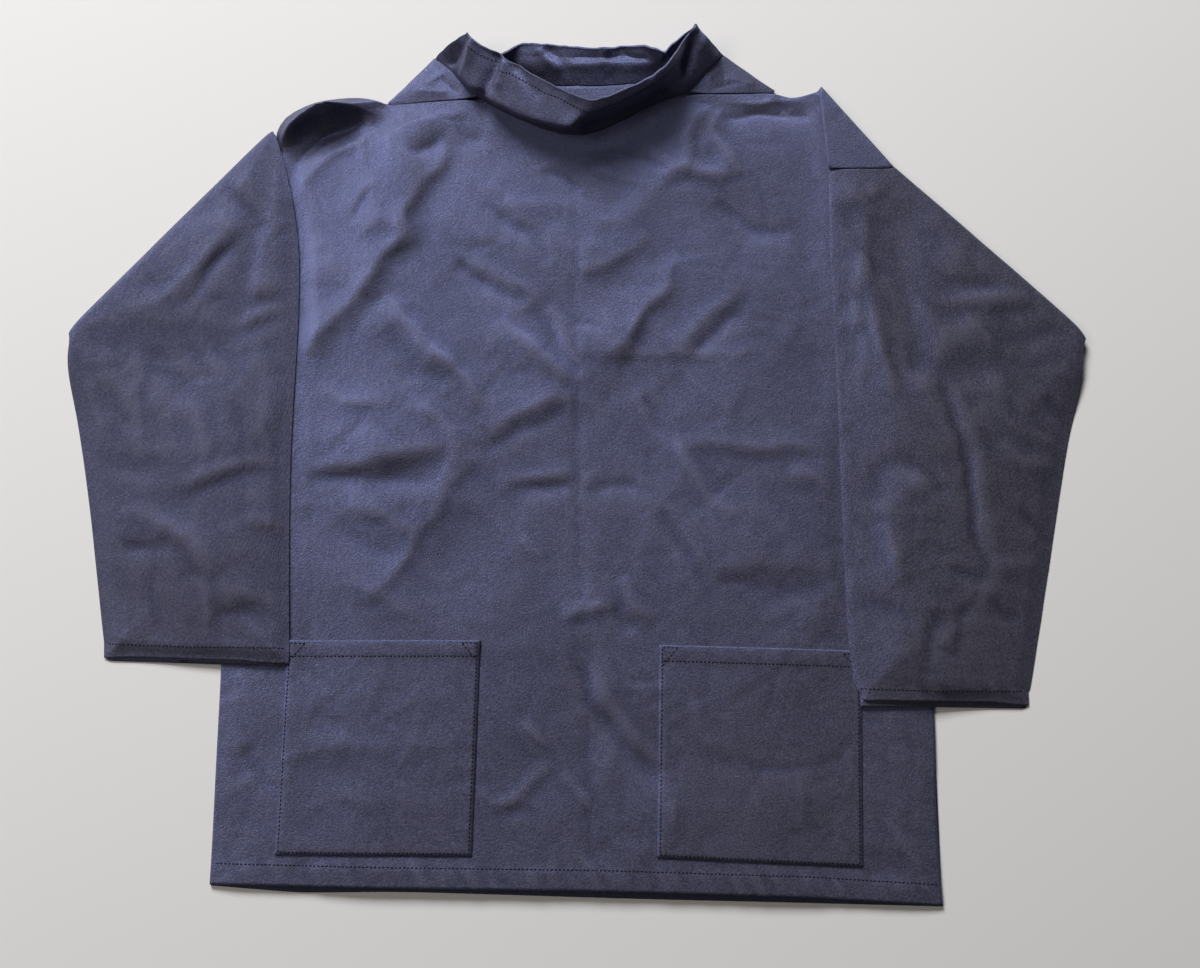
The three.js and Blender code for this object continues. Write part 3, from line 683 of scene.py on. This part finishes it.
pieceSet = {  # levels of subdivision, further cuts of each edge, slot, turn of the weave in degrees, shine
    "front_body": (1, 2, "drill_body", 0, 0.95),
    "back_body": (1, 2, "drill_body", 0, 0.9),
    "sleeve_left": (2, 1, "drill_sleeve", 22, 0.64),
    "sleeve_right": (2, 1, "drill_sleeve", -24, 0.54),
    "collar": (2, 2, "drill_collar", 40, 1.0),
    "neck_gusset_left": (2, 2, "drill_body", 35, 0.9),
    "neck_gusset_right": (2, 2, "drill_body", -38, 0.9),
    "pocket_left": (2, 1, "drill_pocket", 1, 0.9),
    "pocket_right": (2, 1, "drill_pocket", -1, 0.82),
}
groups = {"weave": makeWeaveGroup(), "tone": makeToneGroup(), "creases": makeCreaseGroup()}
pieces = {}
for node, (levels, cuts, _, turn, shine) in pieceSet.items():
    piece = clothFromNode(node, node + "_cloth", levels, cuts)
    piece.data.materials.append(makeDrill("navyDrill_" + node, groups, turn, shine))
    pieces[node] = piece
    print(node, len(piece.data.polygons), "faces")

# Creases of the front, with the pockets that lie on it
frontCreases = [
    (6.6, 20, -0.5, -116, 313, -125, 279, -150, 225, -172, 191, -190, 164, -226, 116, -249, 75),
    (-3, 9, 0, -116, 306, -134, 287, -154, 277),
    (5.2, 10, -0.5, -168, 146, -131, 102, -106, 79, -79, 50),
    (-2.4, 14, 0, -166, 120, -141, 84, -116, 59),
    (-3, 7, 0, -107, 175, -75, 154, -47, 142),
    (2.6, 10, -0.3, -97, 179, -65, 160, -29, 146),
    (-3.2, 6, 0, -47, 140, -25, 111, -2, 75),
    (3.4, 12, -0.45, -70, 126, -43, 98, -11, 71),
    (2, 6, 0, -29, 136, -13, 113, -1, 84),
    (3.8, 16, -0.5, 95, 179, 59, 136, 17, 84),
    (2.8, 14, -0.35, 60, 203, 35, 182, 6, 171),
    (3.4, 14, 0, 103, 323, 96, 294, 85, 264),
    (3.2, 12, -0.4, 112, 321, 128, 294, 146, 258),
    (3.2, 8, 0.1, 69, 258, 99, 262, 139, 258),
    (-3, 6, 0, 120, 236, 138, 221, 163, 208, 188, 207),
    (-2.4, 6, 0, 183, 221, 198, 199, 208, 175),
    (-2, 7, 0, 151, 151, 122, 116, 94, 88),
    (2.4, 12, 0.3, 144, 160, 112, 127, 80, 95),
    (-1.8, 7, 0, -69, 79, -39, 84),
    (2, 8, 0.1, -79, 27, -46, 45, -9, 59),
    (-2, 6, 0, -87, 4, -46, 27, -11, 46),
    (1.2, 4, 0, 24, 94, 80, 95, 147, 97),
    (1.8, 8, 0.4, 83, 14, 121, 16, 170, 12, 222, 9),
    (3.8, 18, 0.45, -247, -8, -212, -3, -177, 0, -146, 7, -111, 20),
    (-3, 10, 0, -239, -17, -184, -13, -146, -14, -115, -8),
    (1.8, 6, 0, -110, 30, -109, -3),
    (1.8, 8, -0.4, -84, 9, -115, -26, -146, -83, -181, -126),
    (1.8, 6, 0.2, -71, -15, -39, -18, -2, -12),
    (-1.8, 5, 0, -59, -24, -28, -25, -2, -21),
    (-1.6, 5, 0, 7, -29, 31, -21, 51, -21),
    (2.8, 9, -0.3, 47, 66, 79, 20, 93, 7, 112, -29, 136, -52),
    (-2.2, 6, 0, 54, 59, 76, 27, 85, 9),
    (-2.2, 6, 0, 67, -40, 92, -78, 118, -128),
    (2, 8, 0.3, -12, -140, 10, -129, 34, -127),
    (-2, 6, 0, 31, -124, 39, -138, 49, -146),
    (1.8, 7, 0, 41, -102, 48, -126, 65, -140),
    (-2.6, 12, 0, -207, -47, -186, -68, -155, -88),
    (2.4, 12, 0.2, -201, -33, -173, -50, -138, -64),
    (1.4, 5, 0, -52, -68, -28, -83),
    (1.6, 7, 0, -230, 66, -207, 55, -165, 52),
    (1.4, 6, 0, -154, 48, -130, 41, -105, 23),
    (2.6, 12, 0.3, -180, 258, -196, 242, -202, 216),
    (-2.4, 7, 0, -183, 249, -196, 230, -199, 216),
    (-1.8, 7, 0, -12, 283, 31, 277, 81, 266),
    (-1.8, 6, 0, -33, 264, -12, 253, -1, 240),
    (2.2, 10, 0.2, -83, 255, -55, 227, -44, 208),
    (-1.8, 7, 0, -90, 232, -69, 216, -47, 204, -26, 180),
    (-2.2, 16, 0, 120, -99, 167, -107, 215, -106),
    (2, 16, 0.2, 113, -82, 168, -88, 219, -87),
    (1.6, 7, 0, 180, -12, 207, -12, 223, -29),
    (-2.4, 7, 0, -115, 313, -102, 298, -84, 287),
    (2.6, 12, 0.2, -109, 317, -153, 309, -188, 290),
    (-3.6, 6, 0, 0, -174, 25, -229, 66, -270),
    (2.2, 6, 0, 10, -172, 37, -226, 76, -262),
    (1.7, 4, 0, -85, -282, -60, -291, -36, -270, -19, -258),
    (-1.4, 4, 0, -68, -295, -31, -299),
    (1.6, 4, 0, -15, -264, 15, -300),
    (1.7, 5, 0, -49, -222, -27, -243),
    (-1.6, 5, 0, -282, -243, -257, -285),
    (1.6, 4, 0, 259, -302, 286, -347),
    (1.2, 5, 0, 79, -288, 81, -314),
    (0.9, 12, 0, -242, -291, -170, -288, -98, -292),
    (0.8, 9, 0, -244, -240, -160, -246, -96, -238),
    (-0.9, 8, 0, 84, -250, 150, -262, 226, -252),
    (-0.8, 4, 0, -10, 283, -6, 256, -4, 190, -4, 116, -1, 54, -2, 0, 1, -87, 6, -170),
    (-0.8, 4, 0, 4, -190, 8, -260, 10, -340),
]
frontMounds = [
    (2.6, -215, 215, 46, 90, 20),
    (2.2, -60, 200, 60, 40, -30),
    (-1.6, 60, 150, 50, 60, 0),
    (2.4, -150, 20, 70, 40, 15),
    (1.6, 120, -60, 60, 46, -20),
    (1.5, -30, -180, 60, 50, 10),
    (-1.4, 170, 100, 50, 50, 0),
    (-1.8, -110, -80, 40, 40, 0),
]
frontScatter = scatterCreases((-300, -360, 300, 330), 210, 41)
shoulderCreases = [
    (18, 9, 0.2, -290, 250, -276, 280, -262, 298, -244, 311, -222, 319, -200, 326, -178, 331),
    (-4.5, 8, 0, -268, 246, -250, 278, -226, 298, -196, 315),
    (2, 5, 0, -256, 236, -236, 268, -210, 288, -180, 306),
    (-2.6, 6, 0, 128, 314, 172, 317, 214, 319),
    (2, 6, 0, 128, 328, 172, 330, 214, 331),
    (-2, 5, 0, 176, 332, 190, 318),
]

hemLine = [(-302, -349), (-148, -352), (19, -354), (185, -359), (299, -366)]
frontSet = {
    "cover": (0.5, 16),     # no creases under the sleeves, all of them this far from them
    "neck": (0.15, 14),     # share of them kept under the collar, and how far out that fades
    "rim": (0.35, 18),      # the same along the sewn edges
    "room": 0.3,            # air kept over the layer below
    "pucker": (0.75, 91),   # height of the hem's ripples and their seed
    "rubAndShade": 1.1,
    "shoulder": 0.3,        # power that lets the shoulder's creases reach under the sleeve
}
flapSet = {"x": 216, "y": 340, "slope": 8 / 78, "end": 255, "fade": (2, 18)}  # edge of the right shoulder's strip


def frontRelief(x, y):
    total = creaseHeights(x, y, frontCreases, 300)
    total += creaseHeights(x, y, frontScatter, 1300)
    total += moundHeights(x, y, frontMounds)
    return total + crumple(x, y, 5)


def creaseFront(piece):
    s = frontSet
    points = pointsOf(piece)
    x, y, _ = points.T
    cover = fadeBetween(coverDistance(points, sleeveTree), *s["cover"])
    flapX = flapSet["x"] + (flapSet["y"] - y) * flapSet["slope"]
    flap = np.where(y > flapSet["end"], fadeBetween(np.abs(flapX - x), *flapSet["fade"]), 1.0)
    neck = fadeFrom(coverDistance(points, collarTree), *s["neck"])
    rim = fadeFrom(rimDistance(piece, points), *s["rim"])
    room = roomBelow(points, readVertices(piece, "normal"), bodyTree)
    relief = softFloor(frontRelief(x, y) * cover * flap * neck * rim, s["room"] - room)
    relief += s["pucker"][0] * seamPucker(x, y, hemLine, s["pucker"][1])
    shoulders = creaseHeights(x, y, shoulderCreases, 900)
    relief += shoulders * np.where(x < 0, cover ** s["shoulder"], flap)
    raiseCloth(piece, points, relief, s["rubAndShade"])
    print("front is creased")


pocketSet = {
    "tops": {"pocket_left": -155, "pocket_right": -162},
    "low": -3.4,          # depth of the deepest trough
    "pucker": (0.3, 93),
    "puckerDown": 8,      # how far below the top edge the ripples lie
    "edge": (0.6, 4.2),
    "drawn": (0.3, 0.8),  # how far the stitches pull the top edge and the other edges down
}


def creasePocket(node):
    s = pocketSet
    piece, top = pieces[node], pocketSet["tops"][node]
    points = pointsOf(piece)
    x, y, _ = points.T
    lift = frontRelief(x, y) * fadeBetween(coverDistance(points, sleeveTree), *frontSet["cover"])
    lift = softFloor(lift, np.full(len(x), s["low"]))
    hemY = top - s["puckerDown"]
    lift += s["pucker"][0] * seamPucker(x, y, [(-300, hemY), (300, hemY)], s["pucker"][1])
    sewn = 1 - fadeBetween(rimDistance(piece, points), *s["edge"])
    lift -= sewn * np.where(y > top - 5, *s["drawn"])
    raiseCloth(piece, points, lift, frontSet["rubAndShade"])


collarTree = treeOf([pieces["collar"]], flat=True)
sleeveTree = treeOf([pieces["sleeve_left"], pieces["sleeve_right"]], flat=True)
bodyTree = treeOf([pieces["back_body"], pieces["front_body"]])
creaseFront(pieces["front_body"])
for node in pocketSet["tops"]:
    creasePocket(node)

# Creases of the sleeves, on the layer that shows; a cuff row is a push for the upper or the lower layer
leftCreases = [
    (-4.6, 7, 0.3, -325, 257, -304, 237, -276, 203),
    (3.4, 22, 0.3, -319, 267, -294, 243, -264, 203),
    (-3.6, 8, 0, -296, 211, -315, 181, -354, 137),
    (3.4, 15, 0.3, -303, 217, -326, 189, -361, 150),
    (2, 20, 0, -331, 238, -354, 213, -376, 189),
    (2.2, 10, 0.4, -310, 143, -284, 152, -253, 161),
    (-2, 8, 0, -310, 135, -280, 140, -257, 150),
    (2.4, 9, 0.5, -322, 112, -290, 124, -254, 133),
    (-2.2, 6, 0, -324, 107, -289, 118, -256, 127),
    (2, 6, 0, -339, 116, -323, 92, -307, 70),
    (-2, 9, 0, -387, 159, -365, 157, -341, 161),
    (-2, 9, 0, -361, 118, -367, 95, -354, 70, -333, 58),
    (1.7, 11, 0, -387, 109, -386, 54, -377, -3),
    (-1.7, 10, 0, -377, 102, -378, 48, -370, -13),
    (1.8, 12, 0, -337, 54, -325, 7, -329, -33),
    (-1.8, 11, 0, -304, 75, -296, 27, -291, -13, -292, -59),
    (1.7, 11, 0, -278, 95, -272, 48, -275, 7),
    (2.2, 8, 0.4, -341, -23, -304, -9, -252, 2),
    (-1.8, 6, 0, -335, -28, -301, -15, -265, -8),
    (3, 9, 0.5, -398, -45, -365, -53, -334, -73, -313, -103),
    (-2.6, 9, 0, -391, -72, -370, -76, -350, -79),
    (2.2, 7, 0.4, -286, -49, -268, -54, -248, -60),
    (-1.8, 10, 0, -365, -85, -366, -121, -361, -157),
    (1.7, 9, 0, -322, -102, -317, -131, -321, -157),
    (-2.2, 14, 0, -315, -136, -280, -134, -247, -131),
    (2, 14, 0, -313, -118, -280, -116, -248, -115),
    (2.2, 16, 0, -404, -139, -389, -149, -376, -157),
    (1.8, 12, 0, -434, 75, -422, 41, -422, 7),
]
leftSleeveSet = {
    "creases": leftCreases,
    "corner": [(12, (1.2, -0.4, 0), (-449, 112, 6), (-449, 106, 8))],
    "mounds": [(2.6, -352, 40, 46, 60, 0), (2.4, -330, -80, 60, 40, 0)],
    "cuff": [
        (9, (0, -2.6, 0), "lower", (-400, -173, 0), (-330, -175, 0), (-250, -177, 0)),
        (14, (0, 1.6, 0), "upper", (-380, -172, 0), (-330, -174, 0), (-290, -176, 0)),
    ],
    "scatter": ((-440, -160, -240, 300), 60, 71),
    "cuffLine": [(-402, -162), (-248, -167)],
    "roll": 3.4,
    "edge": 15,
    "seed": 61,
}
rightCreases = [
    (-6.4, 27, 0.6, 228, 229, 250, 196, 297, 147, 335, 116),
    (-2.6, 12, 0, 256, 217, 282, 182, 309, 155),
    (-3.6, 12, 0, 296, 163, 337, 153, 389, 155),
    (3, 7, 0, 303, 145, 348, 146, 400, 146),
    (-3.4, 11, 0, 317, 134, 362, 128, 407, 134),
    (-2.8, 16, 0, 354, 113, 399, 113, 436, 113),
    (-1.5, 14, 0, 283, 233, 309, 202, 338, 174),
    (7, 24, 0, 300, 256, 347, 214, 398, 174, 438, 134),
    (1.6, 5, 0, 243, 143, 243, 128, 256, 124),
    (2.2, 7, 0.3, 252, 139, 264, 97, 276, 54),
    (-1.8, 5, 0, 224, 116, 238, 112, 257, 113),
    (-3.4, 7, 0, 314, 78, 330, 22, 337, -38, 348, -107),
    (1.5, 10, 0, 325, 78, 341, 22, 348, -38, 358, -100),
    (-2.2, 6, 0, 347, -109, 334, -98, 318, -91),
    (-2.6, 9, 0, 350, -113, 362, -134, 380, -136),
    (-2, 7, 0, 343, -111, 327, -140, 317, -170),
    (2, 8, 0.3, 337, -107, 322, -136, 310, -165),
    (-2.4, 6, 0, 280, 5, 298, -8, 317, -29),
    (1.8, 8, 0, 272, -4, 293, -19, 311, -41),
    (2, 8, 0, 365, 18, 386, -3, 415, -3),
    (-2.2, 6, 0, 379, -38, 394, -56, 410, -73),
    (-2.4, 7, 0, 409, 59, 421, 44, 436, 40),
    (1.8, 8, 0, 353, 97, 363, 67, 369, 40),
    (-1.6, 7, 0, 257, -4, 260, -23, 264, -34),
    (-1.6, 5, 0, 257, -5, 272, -3, 285, 3),
    (-2, 8, 0, 234, -122, 261, -129, 286, -143),
    (1.7, 10, 0, 265, -38, 268, -74, 272, -111),
    (-1.7, 9, 0, 301, -125, 298, -158, 293, -190),
    (1.6, 7, 0, 353, -89, 375, -87, 396, -89),
    (1.8, 9, 0.3, 239, 217, 250, 182, 243, 151),
]
rightSleeveSet = {
    "creases": rightCreases,
    "corner": [(13, (-3.4, -0.4, 0), (449, 106, 6), (449, 99, 8))],
    "mounds": [(2.2, 300, 90, 50, 70, 0), (2.4, 356, 20, 50, 60, 0), (2.0, 320, -110, 60, 40, 0)],
    "cuff": [
        (9, (0.5, -2.8, 0), "lower", (236, -208, 0), (300, -212, 0), (376, -211, 0)),
        (16, (0, 2.6, 0), "upper", (256, -210, 0), (310, -212, 0), (350, -211, 0)),
        (8, (5, 5, 1), "upper", (230, -210, 0), (233, -206, 0)),
    ],
    "scatter": ((220, -200, 440, 300), 70, 83),
    "cuffLine": [(238, -201), (378, -203)],
    "roll": 2.2,
    "edge": 48,
    "seed": 67,
}
layerSet = {
    "shown": (1.5, 2.8),    # depth below the top over which a layer stops being the one that shows
    "rim": (0.2, 22),       # share of the creases kept at the edges, and how far in that fades
    "rollIn": 60,           # how far from the edge the sleeve has its full height
    "pucker": (0.5, 95),
    "low": -1.5,
    "onBody": (275, 315),   # how far out the front lies below the sleeve
    "bodyHeight": 5.4,
    "edge": 15,
    "flatten": 0.42,        # how much flatter the edge that lies on the body is
    "lower": (30, 80),
    "upper": (200, 245),
    "rubAndShade": 1.1,
}


def creaseSleeve(node, s):
    piece, common = pieces[node], layerSet
    points = pointsOf(piece)
    x, y, z = points.T
    shown = 1 - fadeBetween(topHeights(points, treeOf([piece])) - z, *common["shown"])
    lift = creaseHeights(x, y, s["creases"], 2000 + s["seed"])
    lift += creaseHeights(x, y, scatterCreases(*s["scatter"]), 2600 + s["seed"])
    lift += crumple(x, y, s["seed"]) + moundHeights(x, y, s["mounds"])
    edge = rimDistance(piece, points)
    lift = lift * fadeFrom(edge, *common["rim"])
    lift += s["roll"] * fadeBetween(edge, 0, common["rollIn"])
    lift += common["pucker"][0] * seamPucker(x, y, s["cuffLine"], common["pucker"][1])
    lift = softFloor(lift, np.full(len(x), common["low"])) * shown
    points[:, 2] += lift
    onBody = 1 - fadeBetween(np.abs(x), *common["onBody"])
    reach = common["edge"] + (s["edge"] - common["edge"]) * onBody
    flatten = common["flatten"] * (1 - fadeBetween(edge, 0, reach))
    flatten *= np.maximum(onBody, 1 - fadeBetween(y, *common["lower"]))
    flatten *= 1 - fadeBetween(y, *common["upper"])
    base = common["bodyHeight"] * onBody
    points[:, 2] = base + (points[:, 2] - base) * (1 - flatten)
    for far, push, layer, *line in s["cuff"]:
        weight = shown if layer == "upper" else 1 - shown
        flatPoints = points * (1, 1, 0)
        moved = pushAlong(flatPoints, [(far, push, *line)]) - flatPoints
        points += moved * weight[:, None]
    setPoints(piece, pushAlong(points, s["corner"]))
    markRubAndShade(piece, lift, common["rubAndShade"])
    print(node, "is creased")


creaseSleeve("sleeve_left", leftSleeveSet)
creaseSleeve("sleeve_right", rightSleeveSet)

backSet = {
    "share": -0.5,       # the front's creases, turned over and halved
    "crumple": (0.5, 15),
    "most": 1.1,         # the back only lifts off the floor, under the front's own room
    "tall": (2.5, 3.0),
    "rim": (6, 40),
    "rubAndShade": 1.0,
}


def creaseBack(piece):
    s = backSet
    points = pointsOf(piece)
    x, y, z = points.T
    mirrored = [(height * s["share"], width, lean, *(np.reshape(line, (-1, 2)) * (-1, 1)).ravel())
                for height, width, lean, *line in frontCreases]
    lift = creaseHeights(x, y, mirrored, 3300) + s["crumple"][0] * crumple(x, y, s["crumple"][1])
    lift = np.clip(lift, 0, s["most"]) * (1 - fadeBetween(np.abs(z), *s["tall"]))
    lift *= fadeBetween(rimDistance(piece, points), *s["rim"])
    raiseCloth(piece, points, lift, s["rubAndShade"])


creaseBack(pieces["back_body"])

# Collar: dents and wrinkles as pushes along short lines, each with its reach and its direction
collarPushes = [
    (15, (0, 8, -14), (-60, 373, 34), (-20, 371, 31), (20, 370, 30), (56, 372, 33)),
    (13, (-1.5, 7, -12), (-104, 378, 50), (-98, 372, 52)),
    (13, (2, 8, -13), (104, 382, 50), (96, 372, 51)),
    (11, (-2.5, -7, 6), (-100, 340, 22), (-64, 318, 27), (-32, 304, 31), (-5, 296, 36)),
    (8, (1.5, 4, -2), (-84, 324, 15), (-48, 306, 18), (-12, 294, 20)),
    (14, (0, 4, -7), (-78, 357, 49), (-46, 336, 53), (-18, 319, 56)),
    (7, (0, -4, 3), (-6, 296, 38), (6, 300, 50)),
    (5, (3, -2, -5), (-99, 374, 42), (-108, 369, 30), (-118, 364, 14)),
    (5, (-3, 3, 5), (-91, 366, 46), (-98, 356, 34), (-106, 347, 18)),
    (6, (4, 4, -5), (-74, 350, 46), (-79, 341, 36), (-86, 333, 22)),
    (5, (-2, -2, 3), (-66, 346, 48), (-70, 336, 36)),
    (5, (1, 2, -3), (-52, 340, 50), (-36, 322, 42)),
    (8, (-4, 6, -9), (108, 372, 44), (98, 356, 36), (84, 342, 28)),
    (6, (4, -3, 5), (100, 378, 50), (112, 374, 38), (124, 368, 22)),
    (6, (-2, -3, 4), (92, 360, 52), (78, 342, 50), (66, 334, 50)),
    (13, (-1.5, 7, 0), (12, 296, 26), (40, 308, 24), (72, 326, 22)),
    (8, (0, -3, 0), (14, 304, 50), (46, 320, 49), (66, 332, 49)),
    (5, (0, -2, 4), (-36, 366, 25), (-22, 358, 12)),
    (5, (0, 2, -3), (-27, 366, 24), (-12, 356, 12)),
    (4, (0, 1, 3), (-6, 357, 14), (20, 359, 15), (56, 357, 14)),
    (4, (0, -1, -3), (-2, 363, 20), (22, 365, 21), (58, 364, 20)),
    (4, (1, -1, 3), (23, 368, 27), (18, 354, 10)),
    (5, (0, 2, -3), (38, 368, 27), (44, 356, 12)),
    (5, (3, -4, 4), (73, 366, 36), (68, 358, 20)),
    (4, (-3, 3, -4), (80, 366, 36), (77, 358, 24)),
]

collarSet = {
    "seam": (8, 20),      # the seam to the body, up to the first height, moves least
    "seamShare": 0.25,
    "ripple": (0.5, 0.6),  # how far the wall waves to and fro, and up and down as a share of it
    "rippleSize": 11,
    "seed": 77,
    "rubAndShade": 0.5,
}


def wrinkleCollar(piece):
    s = collarSet
    points = pointsOf(piece)
    free = fadeBetween(points[:, 2], *s["seam"])
    share = s["seamShare"] + (1 - s["seamShare"]) * free
    points = points + (pushAlong(points, collarPushes) - points) * share[:, None]
    ripple = s["ripple"][0] * softNoise(points[:, 0] * 2, points[:, 1] + points[:, 2], s["rippleSize"], s["seed"])
    points[:, 1] += ripple
    points[:, 2] += s["ripple"][1] * ripple * free
    setPoints(piece, points)
    markRubAndShade(piece, ripple, s["rubAndShade"])


wrinkleCollar(pieces["collar"])

# Seam edges tucked under the collar: the gussets and the back neck reach a little further in
seamPushes = {
    "front_body": [(8, (0, 5.5, -0.6), (-74, 315, 12), (-53, 306, 12), (-31, 297, 12), (-10, 291, 12), (10, 292, 12),
                    (30, 300, 12), (50, 311, 12), (76, 325, 12))],
    "neck_gusset_left": [(6, (1.7, 1.9, 0.4), (-92, 330, 11), (-112, 350, 9), (-133, 370, 5), (-131, 368, 2))],
    "neck_gusset_right": [(6, (-1.9, 1.7, 0.4), (100, 334, 11), (116, 352, 9), (133, 372, 5), (131, 370, 2))],
    "back_body": [(7, (0, 2.8, 0), (-98, 352, 1), (-26, 346, 1), (18, 346, 1), (100, 353, 1))],
}
gussetCreases = [
    (1.3, 5, 0, -150, 338, -118, 338),
    (-1.2, 4, 0, -126, 352, -108, 334),
    (1.2, 4, 0, -140, 344, -122, 356),
    (-1, 4, 0, 118, 340, 152, 348),
    (1.3, 5, 0, 112, 348, 128, 362),
    (1, 4, 0, 130, 352, 160, 344),
]
upperGusset = (1.6, 3.2)  # height between a gusset's two layers
for node, rows in seamPushes.items():
    points = pushAlong(pointsOf(pieces[node]), rows)
    setPoints(pieces[node], points)
    if "gusset" in node:
        x, y, z = points.T
        lift = creaseHeights(x, y, gussetCreases, 950) * fadeBetween(z, *upperGusset)
        raiseCloth(pieces[node], points, lift, 1.0)
print("collar and gussets are done")

for node, (_, _, slot, _, _) in pieceSet.items():
    piece = pieces[node]
    smoothShade(piece)
    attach(piece, "root")
    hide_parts(node)

# Sewing: rows of small thread stitches laid on the finished cloth
stitchSet = {
    "pitch": 3.4, "length": 2.4, "width": 1.3, "height": 0.85, "proud": 0.05, "sides": 6, "rings": 4,
    "hem": 9,                 # height of the hem's row over its edge
    "above": 200,             # height from which flat rows are laid
    "front": (0.3, -40, 30),  # where the collar's row is laid from: share of its x, towards the hem, up
}
threadSet = {
    "dark": (0.0015, 0.0015, 0.003, 1),
    "light": (0.010, 0.010, 0.020, 1),
    "scale": 260,
    "roughness": 0.75,
    "specular": 0.12,
}


def makeThread():
    s = threadSet
    material, tree, shader = newMaterial("darkThread")
    coords = tree.nodes.new("ShaderNodeTexCoord")
    noise = addNoise(tree, coords.outputs["Object"], s["scale"])
    tree.links.new(addMix(tree, noise, s["dark"], s["light"]), shader.inputs["Base Color"])
    shader.inputs["Roughness"].default_value = s["roughness"]
    shader.inputs["Specular IOR Level"].default_value = s["specular"]
    return material


def evenSteps(line, pitch):
    # places and directions at even steps along a line of points
    line = [np.array(q, float) for q in line]
    spots = []
    left = pitch * 0.5
    for start, end in zip(line[:-1], line[1:]):
        length = np.linalg.norm(end - start)
        while left < length:
            spots.append((start + (end - start) * left / length, (end - start) / length))
            left += pitch
        left -= length
    return spots


def sewRows(name, piece, rows):
    # rows given as (x, y) lines are laid from above, rows given as (x, y, z) from the front
    s = stitchSet
    tree = treeOf([piece])
    bm = bmesh.new()
    for row in rows:
        for spot, along in evenSteps(row, s["pitch"]):
            if len(spot) == 2:
                start, ray = Vector((*spot, s["above"])), Vector((0, 0, -1))
                along = (*along, 0)
            else:
                share, back, up = s["front"]
                start = Vector(spot) + Vector((spot[0] * share, back, up))
                ray = Vector(spot) - start
            place, normal, _, _ = tree.ray_cast(start, ray)
            if place is None:
                continue
            side = normal.cross(Vector(along)).normalized()
            ahead = side.cross(normal)
            turn = Matrix((ahead, side, normal)).transposed().to_4x4()
            centre = (place + normal * s["proud"] + Vector((*clothSet["shift"], 0))) * mm
            size = Matrix.Diagonal((s["length"] / 2 * mm, s["width"] / 2 * mm, s["height"] / 2 * mm, 1))
            bmesh.ops.create_uvsphere(bm, u_segments=s["sides"], v_segments=s["rings"], radius=1,
                                      matrix=Matrix.Translation(centre) @ turn @ size)
    mesh = meshFrom(name, bm)
    mesh.materials.append(threadMaterial)
    mesh.shade_smooth()
    row = addObject(name, mesh)
    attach(row, "root")
    print(name, "are sewn")
    return row


def inset(corners, gap):
    # the corners of a box moved in towards its middle by about a gap
    middle = np.mean(corners, axis=0)
    return [tuple(np.array(c) - np.sign(np.array(c) - middle) * gap) for c in corners]


pocketRows = {
    "corners": {
        "pocket_left": [(-248, -155), (-252, -333), (-88, -334), (-83, -155)],
        "pocket_right": [(69, -159), (66, -335), (237, -343), (241, -164)],
    },
    "inset": 2.6,
    "hem": 11,
    "triangle": (13, 15),  # its width along the top edge and its height
}
threadMaterial = makeThread()
sewRows("hem_stitches", pieces["front_body"], [
    [(x, y + stitchSet["hem"]) for x, y in hemLine],
    [(225, 267), (255, 266), (284, 268)],
])
for node, corners in pocketRows["corners"].items():
    topLeft, bottomLeft, bottomRight, topRight = inset(corners, pocketRows["inset"])
    down = pocketRows["hem"]
    rows = [[topLeft, bottomLeft, bottomRight, topRight],
            [(topLeft[0], topLeft[1] - down), (topRight[0], topRight[1] - down)]]
    wide, tall = pocketRows["triangle"]
    for corner, across in ((topLeft, wide), (topRight, -wide)):
        rows.append([(corner[0] + across, corner[1]), (corner[0], corner[1] - tall)])
        rows.append([corner, (corner[0] + across, corner[1])])
    sewRows(node + "_stitches", pieces[node], rows)
cuffRows = {
    "left": [(-402, -158), (-325, -161), (-248, -162)],
    "right": [(238, -196), (306, -198), (378, -198)],
}
for side, row in cuffRows.items():
    node = "sleeve_" + side
    sewRows("cuff_" + side + "_stitches", pieces[node], [row])
collarRim = [
    (-96, 362, 42), (-88, 357, 42), (-76, 350, 43), (-60, 339, 45), (-44, 328, 47), (-26, 317, 49), (-8, 308, 50),
    (10, 301, 50), (28, 308, 49), (46, 317, 48), (64, 327, 47), (77, 335, 46), (86, 347, 45), (92, 358, 44),
]
collarRow = pushAlong(np.array(collarRim, float), collarPushes)
sewRows("collar_stitches", pieces["collar"], [[tuple(p) for p in collarRow]])
